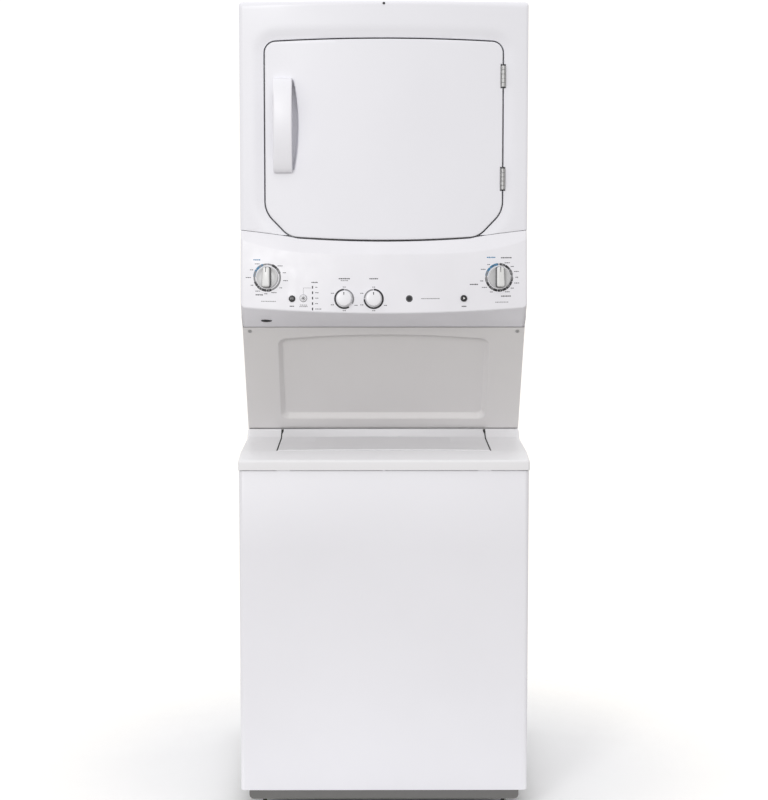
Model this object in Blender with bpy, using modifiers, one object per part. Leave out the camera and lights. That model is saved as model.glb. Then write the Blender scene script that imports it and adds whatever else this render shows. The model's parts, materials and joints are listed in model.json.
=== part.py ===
"""Stacked laundry centre: a front-loading dryer joined above a top-loading washer.

Metres, +Z up. X runs across the front, Y from the front to the back, and the origin is on the
floor under the centre of the object. Every piece that moves has its origin on its own axis.
"""

import math

import bmesh
import bpy
from mathutils import Euler, Matrix, Vector
from mathutils.geometry import convex_hull_2d

# Driving dimensions -------------------------------------------------------------------------
HALF_WIDTH = 0.340  # cabinets, either side of the middle
REAR_Y = 0.372  # back of both cabinets
OVERALL_REAR_Y = 0.3985  # ends of the ports and of the exhaust duct
SHEET = 0.0012  # painted steel
GAP = 0.0003  # between pieces that touch
PLASTIC = 0.0025  # moulded walls

FOOT_TOP_Z = 0.036
BASE_TOP_Z = 0.057
COVER_BOTTOM_Z = 0.8263
COVER_FLAT_Z = 0.859
LEDGE_Z = 0.877
STAND_TOP_Z = 1.149
DRYER_TOP_Z = 1.917
CROWN = 0.003  # the dryer's top cover rises this much in the middle

WASHER_FRONT_Y = -0.3955
COVER_HALF_WIDTH = 0.3415
COVER_FRONT_Y = -0.3985
APRON_REAR_Y = -0.297  # crease between the sloping apron and the flat top
TUB_Y = -0.092  # upright axis of tub, basket and agitator
TUB_RADIUS = 0.283
BASKET_RADIUS = 0.258

LID_HALF_WIDTH = 0.254
LID_BOTTOM_Z = 0.8463
LID_AXIS = Vector((0.0, -0.032, 0.866))
LID_BARREL_RADIUS = 0.011
WELL_HALF_WIDTH = 0.257
WELL_FLOOR_Z = 0.8435

SPLASH_FOOT = Vector((0.0, -0.0235, 0.879))
SPLASH_LENGTH = 0.3363
SPLASH_TILT = math.pi - math.atan2(4, 3)  # a 3-4-5 slope that leans forward

DRYER_SIDE_Y = -0.2805  # front of the dryer at its side edges
DRYER_BOW = 0.0355  # the front stands this much further out in the middle
PANEL_BACK_Y = -0.262
DOOR_BACK_Y = -0.268
DOOR_GAP = 0.003
DOOR_HALF_WIDTH = 0.2806
DOOR_AXIS = Vector((0.2806, -0.2925, 0.0))
CONSOLE_HALF_WIDTH = 0.339
CONSOLE_CREASE_Z = 1.330
CREASE_OUT = 0.012
CONSOLE_OUT = 0.030

DRUM_AXIS_Z = 1.585
DRUM_RADIUS = 0.310
DRUM_FRONT_Y = -0.205
DRUM_REAR_Y = 0.345
ROLLER_RADIUS = 0.035
ROLLER_ANGLE = math.radians(35)
MOTOR_X = 0.225
MOTOR_Z = 1.255
SHAFT_PULLEY_RADIUS = 0.011
DUCT_X = 0.060
DUCT_Z = 1.2205
DUCT_RADIUS = 0.050

DRIVEN_RADIUS = 0.098
MOTOR_PULLEY_RADIUS = 0.0200
WASHER_MOTOR_X = 0.190
BELT_THICKNESS = 0.005
WASHER_BELT_Z = 0.186

DRAIN_X = -0.200
DRAIN_Z = 0.095
VALVE_Z = 0.760
VALVE_PORTS = {"hot_port": 0.175, "cold_port": 0.225}

SCREW_UP_SLOPE = 0.3244
SCREW_X = 0.3225
HINGE_LEVELS = {"upper": 1.744, "lower": 1.504}
HINGE_HALF_HEIGHT = 0.0245
KNUCKLE_RADIUS = 0.0041
HINGE_NOTCH = KNUCKLE_RADIUS + 0.0013
HANDLE_X = (-0.260, -0.215)
HANDLE_Z = (1.519, 1.739)
CONSOLE_STATIONS = [0, 0.055, 0.11, 0.165, 0.207, 0.237, 0.272, 0.306]
BUMPER_CENTRE = Vector((-0.280, -0.2625, 1.1670))

FEET = {
    "foot_front_left": (-0.285, -0.355),
    "foot_front_right": (0.285, -0.355),
    "foot_rear_left": (-0.285, 0.330),
    "foot_rear_right": (0.285, 0.330),
}
GRIP_HEIGHT = 0.0190
CYCLE_DIAL = {"z": 1.273, "skirt": 0.0275, "height": 0.0080}
SMALL_DIAL = {"z": 1.224, "skirt": 0.0180, "height": 0.0170}
KNOBS = {
    "washer_cycle_knob": (-0.275, CYCLE_DIAL),
    "dryer_cycle_knob": (0.272, CYCLE_DIAL),
    "temperature_knob": (-0.093, SMALL_DIAL),
    "load_knob": (-0.024, SMALL_DIAL),
}
BUTTONS = {
    "washer_start_button": (-0.2165, 1.224, "dark_plastic"),
    "option_button": (-0.1894, 1.225, "white_plastic"),
    "dryer_start_button": (0.1885, 1.225, "dark_plastic"),
}

MATERIALS = {
    "white_enamel": ((0.80, 0.80, 0.82), 0.30, 0.0),
    "white_plastic": ((0.78, 0.78, 0.80), 0.38, 0.0),
    "grey_panel": ((0.56, 0.56, 0.56), 0.40, 0.0),
    "base_grey": ((0.16, 0.155, 0.15), 0.55, 0.0),
    "dark_plastic": ((0.02, 0.02, 0.022), 0.40, 0.0),
    "tub_plastic": ((0.62, 0.62, 0.60), 0.50, 0.0),
    "steel": ((0.60, 0.60, 0.60), 0.32, 1.0),
    "galvanised": ((0.48, 0.49, 0.50), 0.45, 1.0),
    "rubber": ((0.03, 0.03, 0.03), 0.80, 0.0),
}


# Tools --------------------------------------------------------------------------------------
def clear_scene():
    for obj in list(bpy.data.objects):
        bpy.data.objects.remove(obj, do_unlink=True)


def make_collection(name):
    made = bpy.data.collections.new(name)
    bpy.context.scene.collection.children.link(made)
    return made


def get_material(name):
    """The named Principled material, made the first time that it is asked for."""
    if name in bpy.data.materials:
        return bpy.data.materials[name]
    colour, roughness, metallic = MATERIALS[name]
    made = bpy.data.materials.new(name)
    made.use_nodes = True
    shader = made.node_tree.nodes["Principled BSDF"]
    shader.inputs["Base Color"].default_value = (*colour, 1.0)
    shader.inputs["Roughness"].default_value = roughness
    shader.inputs["Metallic"].default_value = metallic
    made.diffuse_color = (*colour, 1.0)
    return made


def place(name, mesh, material):
    """An object of this mesh: a part if it has a material, or else a hidden cutter."""
    obj = bpy.data.objects.new(name, mesh)
    if material:
        PARTS.objects.link(obj)
        mesh.materials.append(get_material(material))
    else:
        CUTTERS.objects.link(obj)
        obj.hide_render = True
        obj.display_type = "WIRE"
    return obj


def finish_mesh(name, bm, material, origin=(0, 0, 0), turn=None, smooth=False):
    """A part or cutter from a mesh built round (0, 0, 0), then turned and moved to origin."""
    mesh = bpy.data.meshes.new(name)
    bmesh.ops.recalc_face_normals(bm, faces=bm.faces)
    bm.to_mesh(mesh)
    bm.free()
    obj = place(name, mesh, material)
    obj.location = origin
    if turn:
        obj.rotation_euler = turn
    if smooth:
        mesh.shade_smooth()
        mesh.set_sharp_from_angle(angle=math.radians(35))
    return obj


def box(name, low, high, material=None, origin=(0, 0, 0), turn=None, bevel=0.0):
    """A box between two corners, which are counted from origin."""
    low, high = Vector(low), Vector(high)
    bm = bmesh.new()
    size = Matrix.Diagonal((*(high - low), 1.0))
    bmesh.ops.create_cube(bm, size=1.0, matrix=Matrix.Translation((low + high) / 2) @ size)
    if bevel:
        bmesh.ops.bevel(bm, geom=bm.edges[:], offset=bevel, segments=2, affect="EDGES", profile=0.5)
    return finish_mesh(name, bm, material, origin, turn)


def cylinder(name, radius, low, high, axis="Z", origin=(0, 0, 0), turn=None, steps=16, material=None):
    """A cylinder along an axis through origin, from low to high along it."""
    bm = bmesh.new()
    turned_to = {"X": Matrix.Rotation(math.pi / 2, 4, "Y"), "Y": Matrix.Rotation(-math.pi / 2, 4, "X")}
    matrix = turned_to.get(axis, Matrix()) @ Matrix.Translation((0, 0, (low + high) / 2))
    bmesh.ops.create_cone(
        bm, cap_ends=True, segments=steps, radius1=radius, radius2=radius, depth=high - low, matrix=matrix
    )
    return finish_mesh(name, bm, material, origin, turn, smooth=True)


def prism_mesh(outline, low, high, axis="Y"):
    """A flat outline drawn out along an axis. Its two coordinates are the other axes, in order."""
    spread = {"X": lambda a, b, c: (c, a, b), "Y": lambda a, b, c: (a, c, b), "Z": lambda a, b, c: (a, b, c)}
    bm = bmesh.new()
    face = bm.faces.new([bm.verts.new(spread[axis](a, b, low)) for a, b in outline])
    made = bmesh.ops.extrude_face_region(bm, geom=[face])["geom"]
    for vert in made:
        if isinstance(vert, bmesh.types.BMVert):
            vert.co = spread[axis](*[vert.co[i] for i in range(3) if i != "XYZ".index(axis)], high)
    return bm


def prism(name, outline, low, high, axis="Y", material=None, origin=(0, 0, 0), turn=None):
    return finish_mesh(name, prism_mesh(outline, low, high, axis), material, origin, turn)


def bowed_prism(name, outline, front, back, material=None, origin=(0, 0, 0), strip=0.058, shell=0.0):
    """An outline in X and Z whose front and back follow functions of x, in strips across it.

    With shell above 0 it is a pan of that wall thickness, open at the back.
    """
    bm = prism_mesh(outline, 0.0, 1.0)
    right = max(x for x, _ in outline)
    count = max(1, math.ceil(2 * right / strip))
    for index in range(1, count):
        cut_x = -right + 2 * right * index / count
        nearest = min((x for x, _ in outline), key=lambda x: abs(x - cut_x))
        if abs(nearest - cut_x) < strip / 8:
            cut_x = nearest
        everything = bm.verts[:] + bm.edges[:] + bm.faces[:]
        bmesh.ops.bisect_plane(bm, geom=everything, plane_co=(cut_x, 0, 0), plane_no=(1, 0, 0))
    for vert in bm.verts:
        vert.co.y = back(vert.co.x) if vert.co.y > 0.5 else front(vert.co.x)
    bm.normal_update()
    split_bent_faces(bm)
    bmesh.ops.translate(bm, verts=bm.verts[:], vec=-Vector(origin))
    if not shell:
        return finish_mesh(name, bm, material, origin)
    bmesh.ops.recalc_face_normals(bm, faces=bm.faces)
    bmesh.ops.delete(bm, geom=[face for face in bm.faces if face.normal.y > 0.9], context="FACES")
    obj = finish_mesh(name, bm, material, origin)
    add_sheet(obj, shell, even=False)
    return obj


def add_sheet(obj, thickness, even=True):
    sheet = obj.modifiers.new("Sheet", "SOLIDIFY")
    sheet.thickness = thickness
    sheet.offset = -1.0
    sheet.use_even_offset = even


def split_bent_faces(bm):
    """Cuts the faces that aren't flat, because a Boolean needs flat ones."""
    bmesh.ops.connect_verts_nonplanar(bm, angle_limit=0.00001, faces=bm.faces[:])
    bent = [face for face in bm.faces if len(face.verts) > 3 and bend_of(face) > 0.000001]
    bmesh.ops.triangulate(bm, faces=bent)


def bend_of(face):
    """How far the face's corners stand off its own plane."""
    centre = face.calc_center_median()
    return max(abs((vert.co - centre).dot(face.normal)) for vert in face.verts)


def tapered(name, outline, depth, inwards, material=None, origin=(0, 0, 0), turn=None, start=0.0):
    """An outline at local z = start that narrows by inwards as it goes down by depth."""
    bm = bmesh.new()
    rims = [
        [bm.verts.new((*point, start)) for point in outline],
        [bm.verts.new((*point, start - depth)) for point in inset(outline, inwards)],
    ]
    close_loft(bm, rims)
    return finish_mesh(name, bm, material, origin, turn)


def close_loft(bm, rims):
    """Faces between neighbouring rims of equal count, and a cap on the first and the last."""
    for first, second in zip(rims, rims[1:]):
        for index in range(len(first)):
            after = (index + 1) % len(first)
            bm.faces.new((first[index], first[after], second[after], second[index]))
    bm.faces.new(rims[0])
    bm.faces.new(rims[-1])


def loft(name, sections, material=None, origin=(0, 0, 0)):
    """A solid through sections of equal point count, given in world coordinates."""
    bm = bmesh.new()
    close_loft(bm, [[bm.verts.new(Vector(p) - Vector(origin)) for p in section] for section in sections])
    bm.normal_update()
    split_bent_faces(bm)
    return finish_mesh(name, bm, material, origin)


def turned(name, profile, material=None, axis="Z", origin=(0, 0, 0), steps=32, ring=False, turn=None):
    """A profile of (radius, height), which runs down its outer side, turned about the axis."""
    mesh = bpy.data.meshes.new(name)
    edges = [(i, i + 1) for i in range(len(profile) - 1)]
    if ring:
        edges.append((len(profile) - 1, 0))
    mesh.from_pydata([(radius, 0.0, height) for radius, height in profile], edges, [])
    obj = place(name, mesh, material)
    obj.location = origin
    obj.rotation_euler = turn or {"Z": (0, 0, 0), "Y": (-math.pi / 2, 0, 0), "X": (0, math.pi / 2, 0)}[axis]
    screw = obj.modifiers.new("Turn", "SCREW")
    screw.steps = steps
    screw.render_steps = steps
    screw.use_merge_vertices = True
    screw.merge_threshold = 0.00001
    screw.use_smooth_shade = True
    return obj


def wrap(name, plan, low, high, material, corner=0.0):
    """A folded sheet: an open plan line, given anticlockwise, raised and thickened inwards."""
    bm = bmesh.new()
    rows = [[bm.verts.new((x, y, z)) for x, y in plan] for z in (low, high)]
    for index in range(len(plan) - 1):
        bm.faces.new((rows[0][index], rows[0][index + 1], rows[1][index + 1], rows[1][index]))
    mesh = bpy.data.meshes.new(name)
    bm.to_mesh(mesh)
    bm.free()
    obj = place(name, mesh, material)
    bend = obj.modifiers.new("Bend", "BEVEL")
    bend.width = corner
    bend.segments = 3
    add_sheet(obj, SHEET)
    return obj


def boolean(obj, other, operation):
    change = obj.modifiers.new(other.name, "BOOLEAN")
    change.operation = operation
    change.object = other
    return obj


def cut(obj, *cutters):
    for cutter in cutters:
        boolean(obj, cutter, "DIFFERENCE")
    return obj


def unite(obj, *others):
    for other in others:
        boolean(obj, other, "UNION")
    return obj


def inset(corners, margin):
    """The anticlockwise convex outline with every side moved inwards by margin."""
    moved = []
    for index, corner in enumerate(corners):
        here = Vector(corner)
        arriving = (here - Vector(corners[index - 1])).normalized()
        leaving = (Vector(corners[(index + 1) % len(corners)]) - here).normalized()
        first, second = Vector((-arriving.y, arriving.x)), Vector((-leaving.y, leaving.x))
        moved.append(here + (first + second) * margin / (1 + first.dot(second)))
    return moved


def rounded(corners, radii, steps=4):
    """The outline with an arc at each corner whose radius isn't zero."""
    points = []
    for index, corner in enumerate(corners):
        here, radius = Vector(corner), radii[index]
        if radius <= 0:
            points.append(here)
            continue
        before = (Vector(corners[index - 1]) - here).normalized()
        after = (Vector(corners[(index + 1) % len(corners)]) - here).normalized()
        half = before.angle(after) / 2
        centre = here + (before + after).normalized() * radius / math.sin(half)
        run = radius / math.tan(half)
        start, end = here + before * run - centre, here + after * run - centre
        sweep = start.angle_signed(end)
        points += [centre + turn_2d(start, -sweep * step / steps) for step in range(steps + 1)]
    return points


def turn_2d(vector, angle):
    """The 2D vector turned anticlockwise by angle."""
    c, s = math.cos(angle), math.sin(angle)
    return Vector((c * vector.x - s * vector.y, s * vector.x + c * vector.y))


def rectangle(half_x, low, high):
    return [(-half_x, low), (half_x, low), (half_x, high), (-half_x, high)]


def rounded_box_outline(half_x, low, high, radius, steps=4):
    return rounded(rectangle(half_x, low, high), [radius] * 4, steps)


def front_y(x):
    """Y of the dryer's bowed front face."""
    return DRYER_SIDE_Y - DRYER_BOW * (1 - (x / HALF_WIDTH) ** 2)


# Washer -------------------------------------------------------------------------------------
def make_base():
    outline = rounded(rectangle(0.320, FOOT_TOP_Z, BASE_TOP_Z), [0.010, 0.010, 0, 0], 3)
    base = prism("base_frame", outline, -0.392, 0.366, material="base_grey")
    cut(base, box("base_hollow", (-0.265, -0.330, 0.0), (0.265, 0.305, 0.10)))
    for name, (x, y) in FEET.items():
        cut(base, cylinder(f"{name}_hole", 0.0058, 0.02, 0.07, origin=(x, y, 0)))


def make_feet():
    stem = [(0, 0.054), (0.0047, 0.054), (0.0047, 0.021)]
    profile = [*stem, (0.012, 0.018), (0.018, 0.011), (0.018, 0), (0, 0)]
    for name, (x, y) in FEET.items():
        turned(name, profile, "rubber", origin=(x, y, 0), steps=12)


def make_washer_cabinet():
    low, high = BASE_TOP_Z + GAP, COVER_BOTTOM_Z - 0.0008
    front = -0.3700
    plan = [(HALF_WIDTH, front), (HALF_WIDTH, REAR_Y), (-HALF_WIDTH, REAR_Y), (-HALF_WIDTH, front)]
    cabinet = wrap("washer_cabinet", plan, low, high, "white_enamel", 0.008)
    for name, x in VALVE_PORTS.items():
        cut(cabinet, cylinder(f"{name}_hole", 0.0145, 0.36, 0.38, "Y", origin=(x, 0, VALVE_Z)))
    cut(cabinet, cylinder("drain_hole", 0.0185, 0.36, 0.38, "Y", origin=(DRAIN_X, 0, DRAIN_Z)))
    seam = front - GAP
    front = [(-HALF_WIDTH, WASHER_FRONT_Y), (HALF_WIDTH, WASHER_FRONT_Y)]
    plan = [(-HALF_WIDTH, seam), *front, (HALF_WIDTH, seam)]
    wrap("washer_front_panel", plan, low, high, "white_enamel", 0.010)


def cover_profile(thickness=0.0):
    """(y, z) of the top cover's lengthwise section, or of the space that thickness leaves in it."""
    t = thickness
    bottom = COVER_BOTTOM_Z - (0.01 if t else 0)
    return [
        (COVER_FRONT_Y + t, bottom),
        (REAR_Y - t, bottom),
        (REAR_Y - t, LEDGE_Z - t),
        (-0.024 + t, LEDGE_Z - t),
        (-0.032 + t, 0.872 - t),
        (-0.040 + t, 0.8615 - t),
        (-0.046, COVER_FLAT_Z - t),
        (APRON_REAR_Y, COVER_FLAT_Z - t),
        (COVER_FRONT_Y + 0.006 + t / 2, 0.849 - t),
        (COVER_FRONT_Y + 0.0015 + t, 0.846 - t),
        (COVER_FRONT_Y + t, 0.841 - t / 2),
    ]


def make_top_cover():
    t = 0.002
    half = COVER_HALF_WIDTH
    cover = prism("washer_top_cover", cover_profile(), -half, half, "X", "white_enamel")
    inner = COVER_HALF_WIDTH - t
    space = prism("cover_space", cover_profile(t), -inner, inner, "X")
    well_low, well_high = -0.3005, -0.0185
    pan = box(
        "well_pan",
        (-WELL_HALF_WIDTH - t, well_low - t, WELL_FLOOR_Z - t),
        (WELL_HALF_WIDTH + t, well_high + t, 0.90),
    )
    cut(space, pan)
    well = box("well", (-WELL_HALF_WIDTH, well_low, WELL_FLOOR_Z), (WELL_HALF_WIDTH, well_high, 0.90))
    mouth = prism("mouth", rounded_box_outline(0.215, -0.285, -0.060, 0.085), 0.80, 0.86, "Z")
    trunnions = cylinder("trunnion_holes", 0.0048, -0.270, 0.270, "X", origin=LID_AXIS, steps=12)
    cut(cover, space, well, mouth, trunnions)


def lid_front_y(x):
    """Y of the lid's front edge, which is scooped back in the middle."""
    return -0.2975 + 0.015 * (1 - (x / LID_HALF_WIDTH) ** 2)


def lid_section(x):
    """The lid's (y, z) section at x: flat skin, then the rise to the hinge barrel."""
    front = lid_front_y(x)
    barrel = [
        (
            LID_AXIS.y + LID_BARREL_RADIUS * math.cos(math.radians(angle)),
            LID_AXIS.z + LID_BARREL_RADIUS * math.sin(math.radians(angle)),
        )
        for angle in (150, 120, 90, 60, 30, 0, -30, -60)
    ]
    flat = [
        (front, LID_BOTTOM_Z),
        (front, COVER_FLAT_Z - 0.002),
        (front + 0.003, COVER_FLAT_Z + 0.001),
        (front + 0.012, COVER_FLAT_Z),
        (-0.048, COVER_FLAT_Z),
    ]
    return [(x, y, z) for y, z in [*flat, *barrel, (-0.030, LID_BOTTOM_Z)]]


def make_lid():
    count = 10
    stations = [LID_HALF_WIDTH * (2 * i / count - 1) for i in range(count + 1)]
    lid = loft("washer_lid", [lid_section(x) for x in stations], "white_enamel", LID_AXIS)
    inner = LID_HALF_WIDTH - SHEET
    pan = box("lid_pan", (-inner, -0.2805, 0.840), (inner, -0.050, COVER_FLAT_Z - SHEET))
    channel = box("lid_channel", (-inner, -0.0400, 0.840), (inner, -0.0275, 0.8690))
    cut(lid, pan, channel)
    for side in (-1, 1):
        ends = sorted((side * (LID_HALF_WIDTH - 0.001), side * (LID_HALF_WIDTH + 0.008)))
        unite(lid, cylinder(f"trunnion_{side + 1}", 0.004, *ends, "X", origin=LID_AXIS, steps=12))


def make_tub():
    wall = PLASTIC
    low, high, lip = 0.330, 0.812, 0.236
    profile = [
        (TUB_RADIUS, high),
        (TUB_RADIUS, low + 0.015),
        (TUB_RADIUS - 0.015, low),
        (0.016, low),
        (0.016, low + wall),
        (TUB_RADIUS - 0.016, low + wall),
        (TUB_RADIUS - wall, low + 0.016),
        (TUB_RADIUS - wall, high - wall),
        (lip, high - wall),
        (lip, high),
    ]
    turned("outer_tub", profile, "tub_plastic", origin=(0, TUB_Y, 0), steps=32, ring=True)


def make_basket():
    wall, floor, rim = 0.0015, 0.350, 0.775
    profile = [
        (0, floor + wall),
        (BASKET_RADIUS - 0.0145, floor + wall),
        (BASKET_RADIUS - wall, floor + 0.0165),
        (BASKET_RADIUS - wall, rim),
        (BASKET_RADIUS, rim),
        (BASKET_RADIUS, floor + 0.015),
        (BASKET_RADIUS - 0.0135, floor),
        (0.011, floor),
        (0.011, 0.2165),
        (0, 0.2165),
    ]
    turned("wash_basket", profile, "steel", origin=(0, TUB_Y, 0), steps=32)
    ring = [(0.262, rim + 0.018), (0.262, rim + GAP), (0.232, rim + GAP), (0.232, rim + 0.018)]
    turned("balance_ring", ring, "white_plastic", origin=(0, TUB_Y, 0), steps=32, ring=True)


def make_agitator():
    wall = 0.003
    outside = [(0.028, 0.742), (0.034, 0.735), (0.040, 0.700), (0.044, 0.500), (0.060, 0.430), (0.115, 0.385)]
    outside += [(0.150, 0.366), (0.150, 0.356)]
    inside = [(radius - wall, height - wall) for radius, height in reversed(outside[:-1])]
    profile = [(0, 0.742), *outside, (0.150 - wall, 0.356), *inside, (0, 0.742 - wall)]
    agitator = turned("agitator", profile, "white_plastic", origin=(0, TUB_Y, 0), steps=20)
    vane = [(0.0405, 0.660), (0.0600, 0.640), (0.0680, 0.500)]
    vane += [(0.1300, 0.420), (0.1300, 0.3788), (0.0425, 0.470)]
    for index in range(4):
        heading = (0, 0, math.radians(45 + 90 * index))
        unite(agitator, prism(f"vane_{index}", vane, -wall, wall, origin=(0, TUB_Y, 0), turn=heading))


def belt_outline(circles, outwards, steps=32):
    """The path of a belt round circles of (x, y, radius), outwards from their rims."""
    spread = 1 / math.cos(math.pi / steps)
    points = [
        Vector((x, y)) + turn_2d(Vector(((radius + outwards) * spread, 0)), math.tau * i / steps)
        for x, y, radius in circles
        for i in range(steps)
    ]
    return [points[index] for index in convex_hull_2d(points)]


def make_belt(name, circles, low, high, axis, steps):
    slack = 0.0012
    belt = prism(name, belt_outline(circles, slack + BELT_THICKNESS / 2, steps), low, high, axis, "rubber")
    hole = prism(f"{name}_hole", belt_outline(circles, slack, steps), low - 0.01, high + 0.01, axis)
    cut(belt, hole)


def grooved(radius, rim, low, high):
    """Outer side of a pulley, top to bottom, with a groove for the washer's belt."""
    middle = WASHER_BELT_Z
    return [
        (rim, high),
        (rim, middle + 0.0065),
        (radius, middle + 0.0040),
        (radius, middle - 0.0040),
        (rim, middle - 0.0065),
        (rim, low),
    ]


def make_washer_drive():
    low, high = 0.175, 0.197
    hub = [(0, 0.2145), (0.020, 0.2145), (0.020, high)]
    profile = [*hub, *grooved(DRIVEN_RADIUS, 0.105, low, high), (0, low)]
    turned("driven_pulley", profile, "galvanised", origin=(0, TUB_Y, 0), steps=24)
    gearcase = [(0.035, 0.3297), (0.035, 0.300), (0.085, 0.290)]
    gearcase += [(0.085, 0.2155), (0.0125, 0.2155), (0.0125, 0.3297)]
    turned("gearcase", gearcase, "galvanised", origin=(0, TUB_Y, 0), steps=24, ring=True)
    motor_axis = (WASHER_MOTOR_X, TUB_Y, 0)
    motor = [(0.045, 0.3297), (0.045, 0.318), (0.060, 0.310)]
    motor += [(0.060, 0.2060), (0.0065, 0.2060), (0.0065, 0.3297)]
    turned("washer_motor", motor, "dark_plastic", origin=motor_axis, steps=24, ring=True)
    shaft = [(0, 0.300), (0.005, 0.300), (0.005, high)]
    profile = [*shaft, *grooved(MOTOR_PULLEY_RADIUS, 0.026, low, high), (0, low)]
    turned("motor_pulley", profile, "galvanised", origin=motor_axis, steps=24)
    circles = [(0, TUB_Y, DRIVEN_RADIUS), (WASHER_MOTOR_X, TUB_Y, MOTOR_PULLEY_RADIUS)]
    make_belt("washer_belt", circles, WASHER_BELT_Z - 0.0033, WASHER_BELT_Z + 0.0033, "Z", 24)


def make_water_parts():
    pump = turned(
        "drain_pump",
        [(0, 0.160), (0.030, 0.160), (0.030, 0.125), (0.045, 0.120), (0.045, 0.065), (0, 0.065)],
        "dark_plastic",
        origin=(DRAIN_X, -0.20, 0),
        steps=20,
    )
    outlet = (DRAIN_X, 0, DRAIN_Z)
    unite(pump, cylinder("drain_pipe", 0.016, -0.17, OVERALL_REAR_Y, "Y", origin=outlet, steps=16))
    valve = box("water_valve", (0.150, 0.325, 0.735), (0.250, 0.3685, 0.785), "white_plastic")
    for name, x in VALVE_PORTS.items():
        unite(valve, cylinder(name, 0.0125, 0.34, OVERALL_REAR_Y, "Y", origin=(x, 0, VALVE_Z), steps=16))


def make_suspension():
    """Four hanging rods, each from a cabinet corner down and in to the foot of the tub."""
    for name, side_x, side_y in (
        ("suspension_rod_front_left", -1, -1),
        ("suspension_rod_front_right", 1, -1),
        ("suspension_rod_rear_left", -1, 1),
        ("suspension_rod_rear_right", 1, 1),
    ):
        top = Vector((side_x * 0.300, TUB_Y + side_y * 0.270, 0.795))
        foot = Vector((side_x * 0.228, TUB_Y + side_y * 0.205, 0.345))
        length = (top - foot).length
        cup = [(0.0135, 0.120), (0.0135, 0.004), (0.008, 0)]
        profile = [(0, length), (0.009, length - 0.003), (0.009, length - 0.012), (0.003, length - 0.016)]
        profile += [(0.003, 0.124), *cup, (0, 0)]
        lean = (top - foot).to_track_quat("Z", "Y").to_euler()
        turned(name, profile, "steel", origin=foot, steps=12, turn=lean)


# Stand --------------------------------------------------------------------------------------
def make_stand():
    front = -0.235
    plan = [(HALF_WIDTH, front), (HALF_WIDTH, REAR_Y), (-HALF_WIDTH, REAR_Y), (-HALF_WIDTH, front)]
    stand = wrap("stand_frame", plan, LEDGE_Z + GAP, STAND_TOP_Z, "white_enamel", 0.008)
    tilt = (SPLASH_TILT, 0, 0)
    ahead = box("ahead_of_stand", (-0.4, -0.2, -0.0019), (0.4, 0.6, 0.5), None, SPLASH_FOOT, tilt)
    cut(stand, ahead)


def recess_outline():
    """The splash panel's recess in the panel's own plane, with its top edge bowed upwards."""
    half, low, high, rise = 0.257, 0.03125, 0.29875, 0.015
    arch = [(half * t, high + rise * (1 - t * t)) for t in (0.6, 0.3, 0, -0.3, -0.6)]
    corners = [(-half, low), (half, low), (half, high), *arch, (-half, high)]
    return rounded(corners, [0.020, 0.020, 0.020, *[0] * len(arch), 0.020])


def make_splash():
    sheet, depth, slope = 0.0015, 0.012, 0.014
    tilt = (SPLASH_TILT, 0, 0)
    place_at = {"origin": SPLASH_FOOT, "turn": tilt}
    outline = rectangle(HALF_WIDTH, 0.0, SPLASH_LENGTH)
    panel = prism("splash_panel", outline, -sheet, 0.0, "Z", "grey_panel", **place_at)
    recess = recess_outline()
    pan_depth = depth + sheet - GAP
    unite(panel, tapered("recess_pan", inset(recess, -sheet), pan_depth, slope, start=-GAP, **place_at))
    cut(panel, tapered("recess", inset(recess, -0.001), depth + 0.001, slope, start=0.001, **place_at))
    for side, name in ((-1, "splash_screw_left"), (1, "splash_screw_right")):
        on_panel = Vector((side * SCREW_X, SCREW_UP_SLOPE, 0))
        centre = SPLASH_FOOT + Euler(tilt).to_matrix() @ on_panel
        hole = cylinder(f"{name}_hole", 0.0030, -0.02, 0.02, origin=centre, turn=tilt, steps=12)
        cut(panel, hole)
        head = [(0, 0.0024), (0.0032, 0.0024), (0.00475, 0.0015)]
        head += [(0.00475, GAP), (0.0022, GAP), (0.0022, -0.009)]
        turned(name, [*head, (0, -0.009)], "steel", origin=centre, turn=tilt, steps=12)


# Dryer shell --------------------------------------------------------------------------------
def make_dryer_cabinet():
    front = PANEL_BACK_Y + GAP
    plan = [(HALF_WIDTH, front), (HALF_WIDTH, REAR_Y), (-HALF_WIDTH, REAR_Y), (-HALF_WIDTH, front)]
    cabinet = wrap("dryer_cabinet", plan, STAND_TOP_Z + GAP, DRYER_TOP_Z - 0.013, "white_enamel", 0.008)
    corner = [(-0.30, 1.10), (-0.2255, 1.10), (-0.2255, 1.1540), (-0.2612, 1.1765), (-0.30, 1.1765)]
    cut(cabinet, prism("console_corner", corner, -0.4, 0.4, "X"))
    cut(cabinet, cylinder("duct_hole_cabinet", 0.0520, 0.36, 0.38, "Y", origin=(DUCT_X, 0, DUCT_Z), steps=24))


def make_dryer_top():
    """The top cover: a pan with rounded side edges and a low crown in the middle."""
    low, front = DRYER_TOP_Z - 0.0127, PANEL_BACK_Y + GAP
    sections = []
    right = [(0.09, CROWN), (0.125, 0.0), (HALF_WIDTH - 0.004, 0.0), (HALF_WIDTH, -0.004)]
    edge = 0.003
    for x, rise in [(-x, rise) for x, rise in reversed(right)] + right:
        top = DRYER_TOP_Z + rise
        rear = [(x, REAR_Y, low), (x, REAR_Y, top - edge), (x, REAR_Y - edge, top)]
        sections.append([(x, front, low), *rear, (x, front, top)])
    cover = loft("dryer_top_cover", sections, "white_enamel")
    inner = HALF_WIDTH - 0.0052
    cut(cover, box("top_space", (-inner, front + SHEET, 1.89), (inner, REAR_Y - 0.0042, DRYER_TOP_Z - SHEET)))


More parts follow.
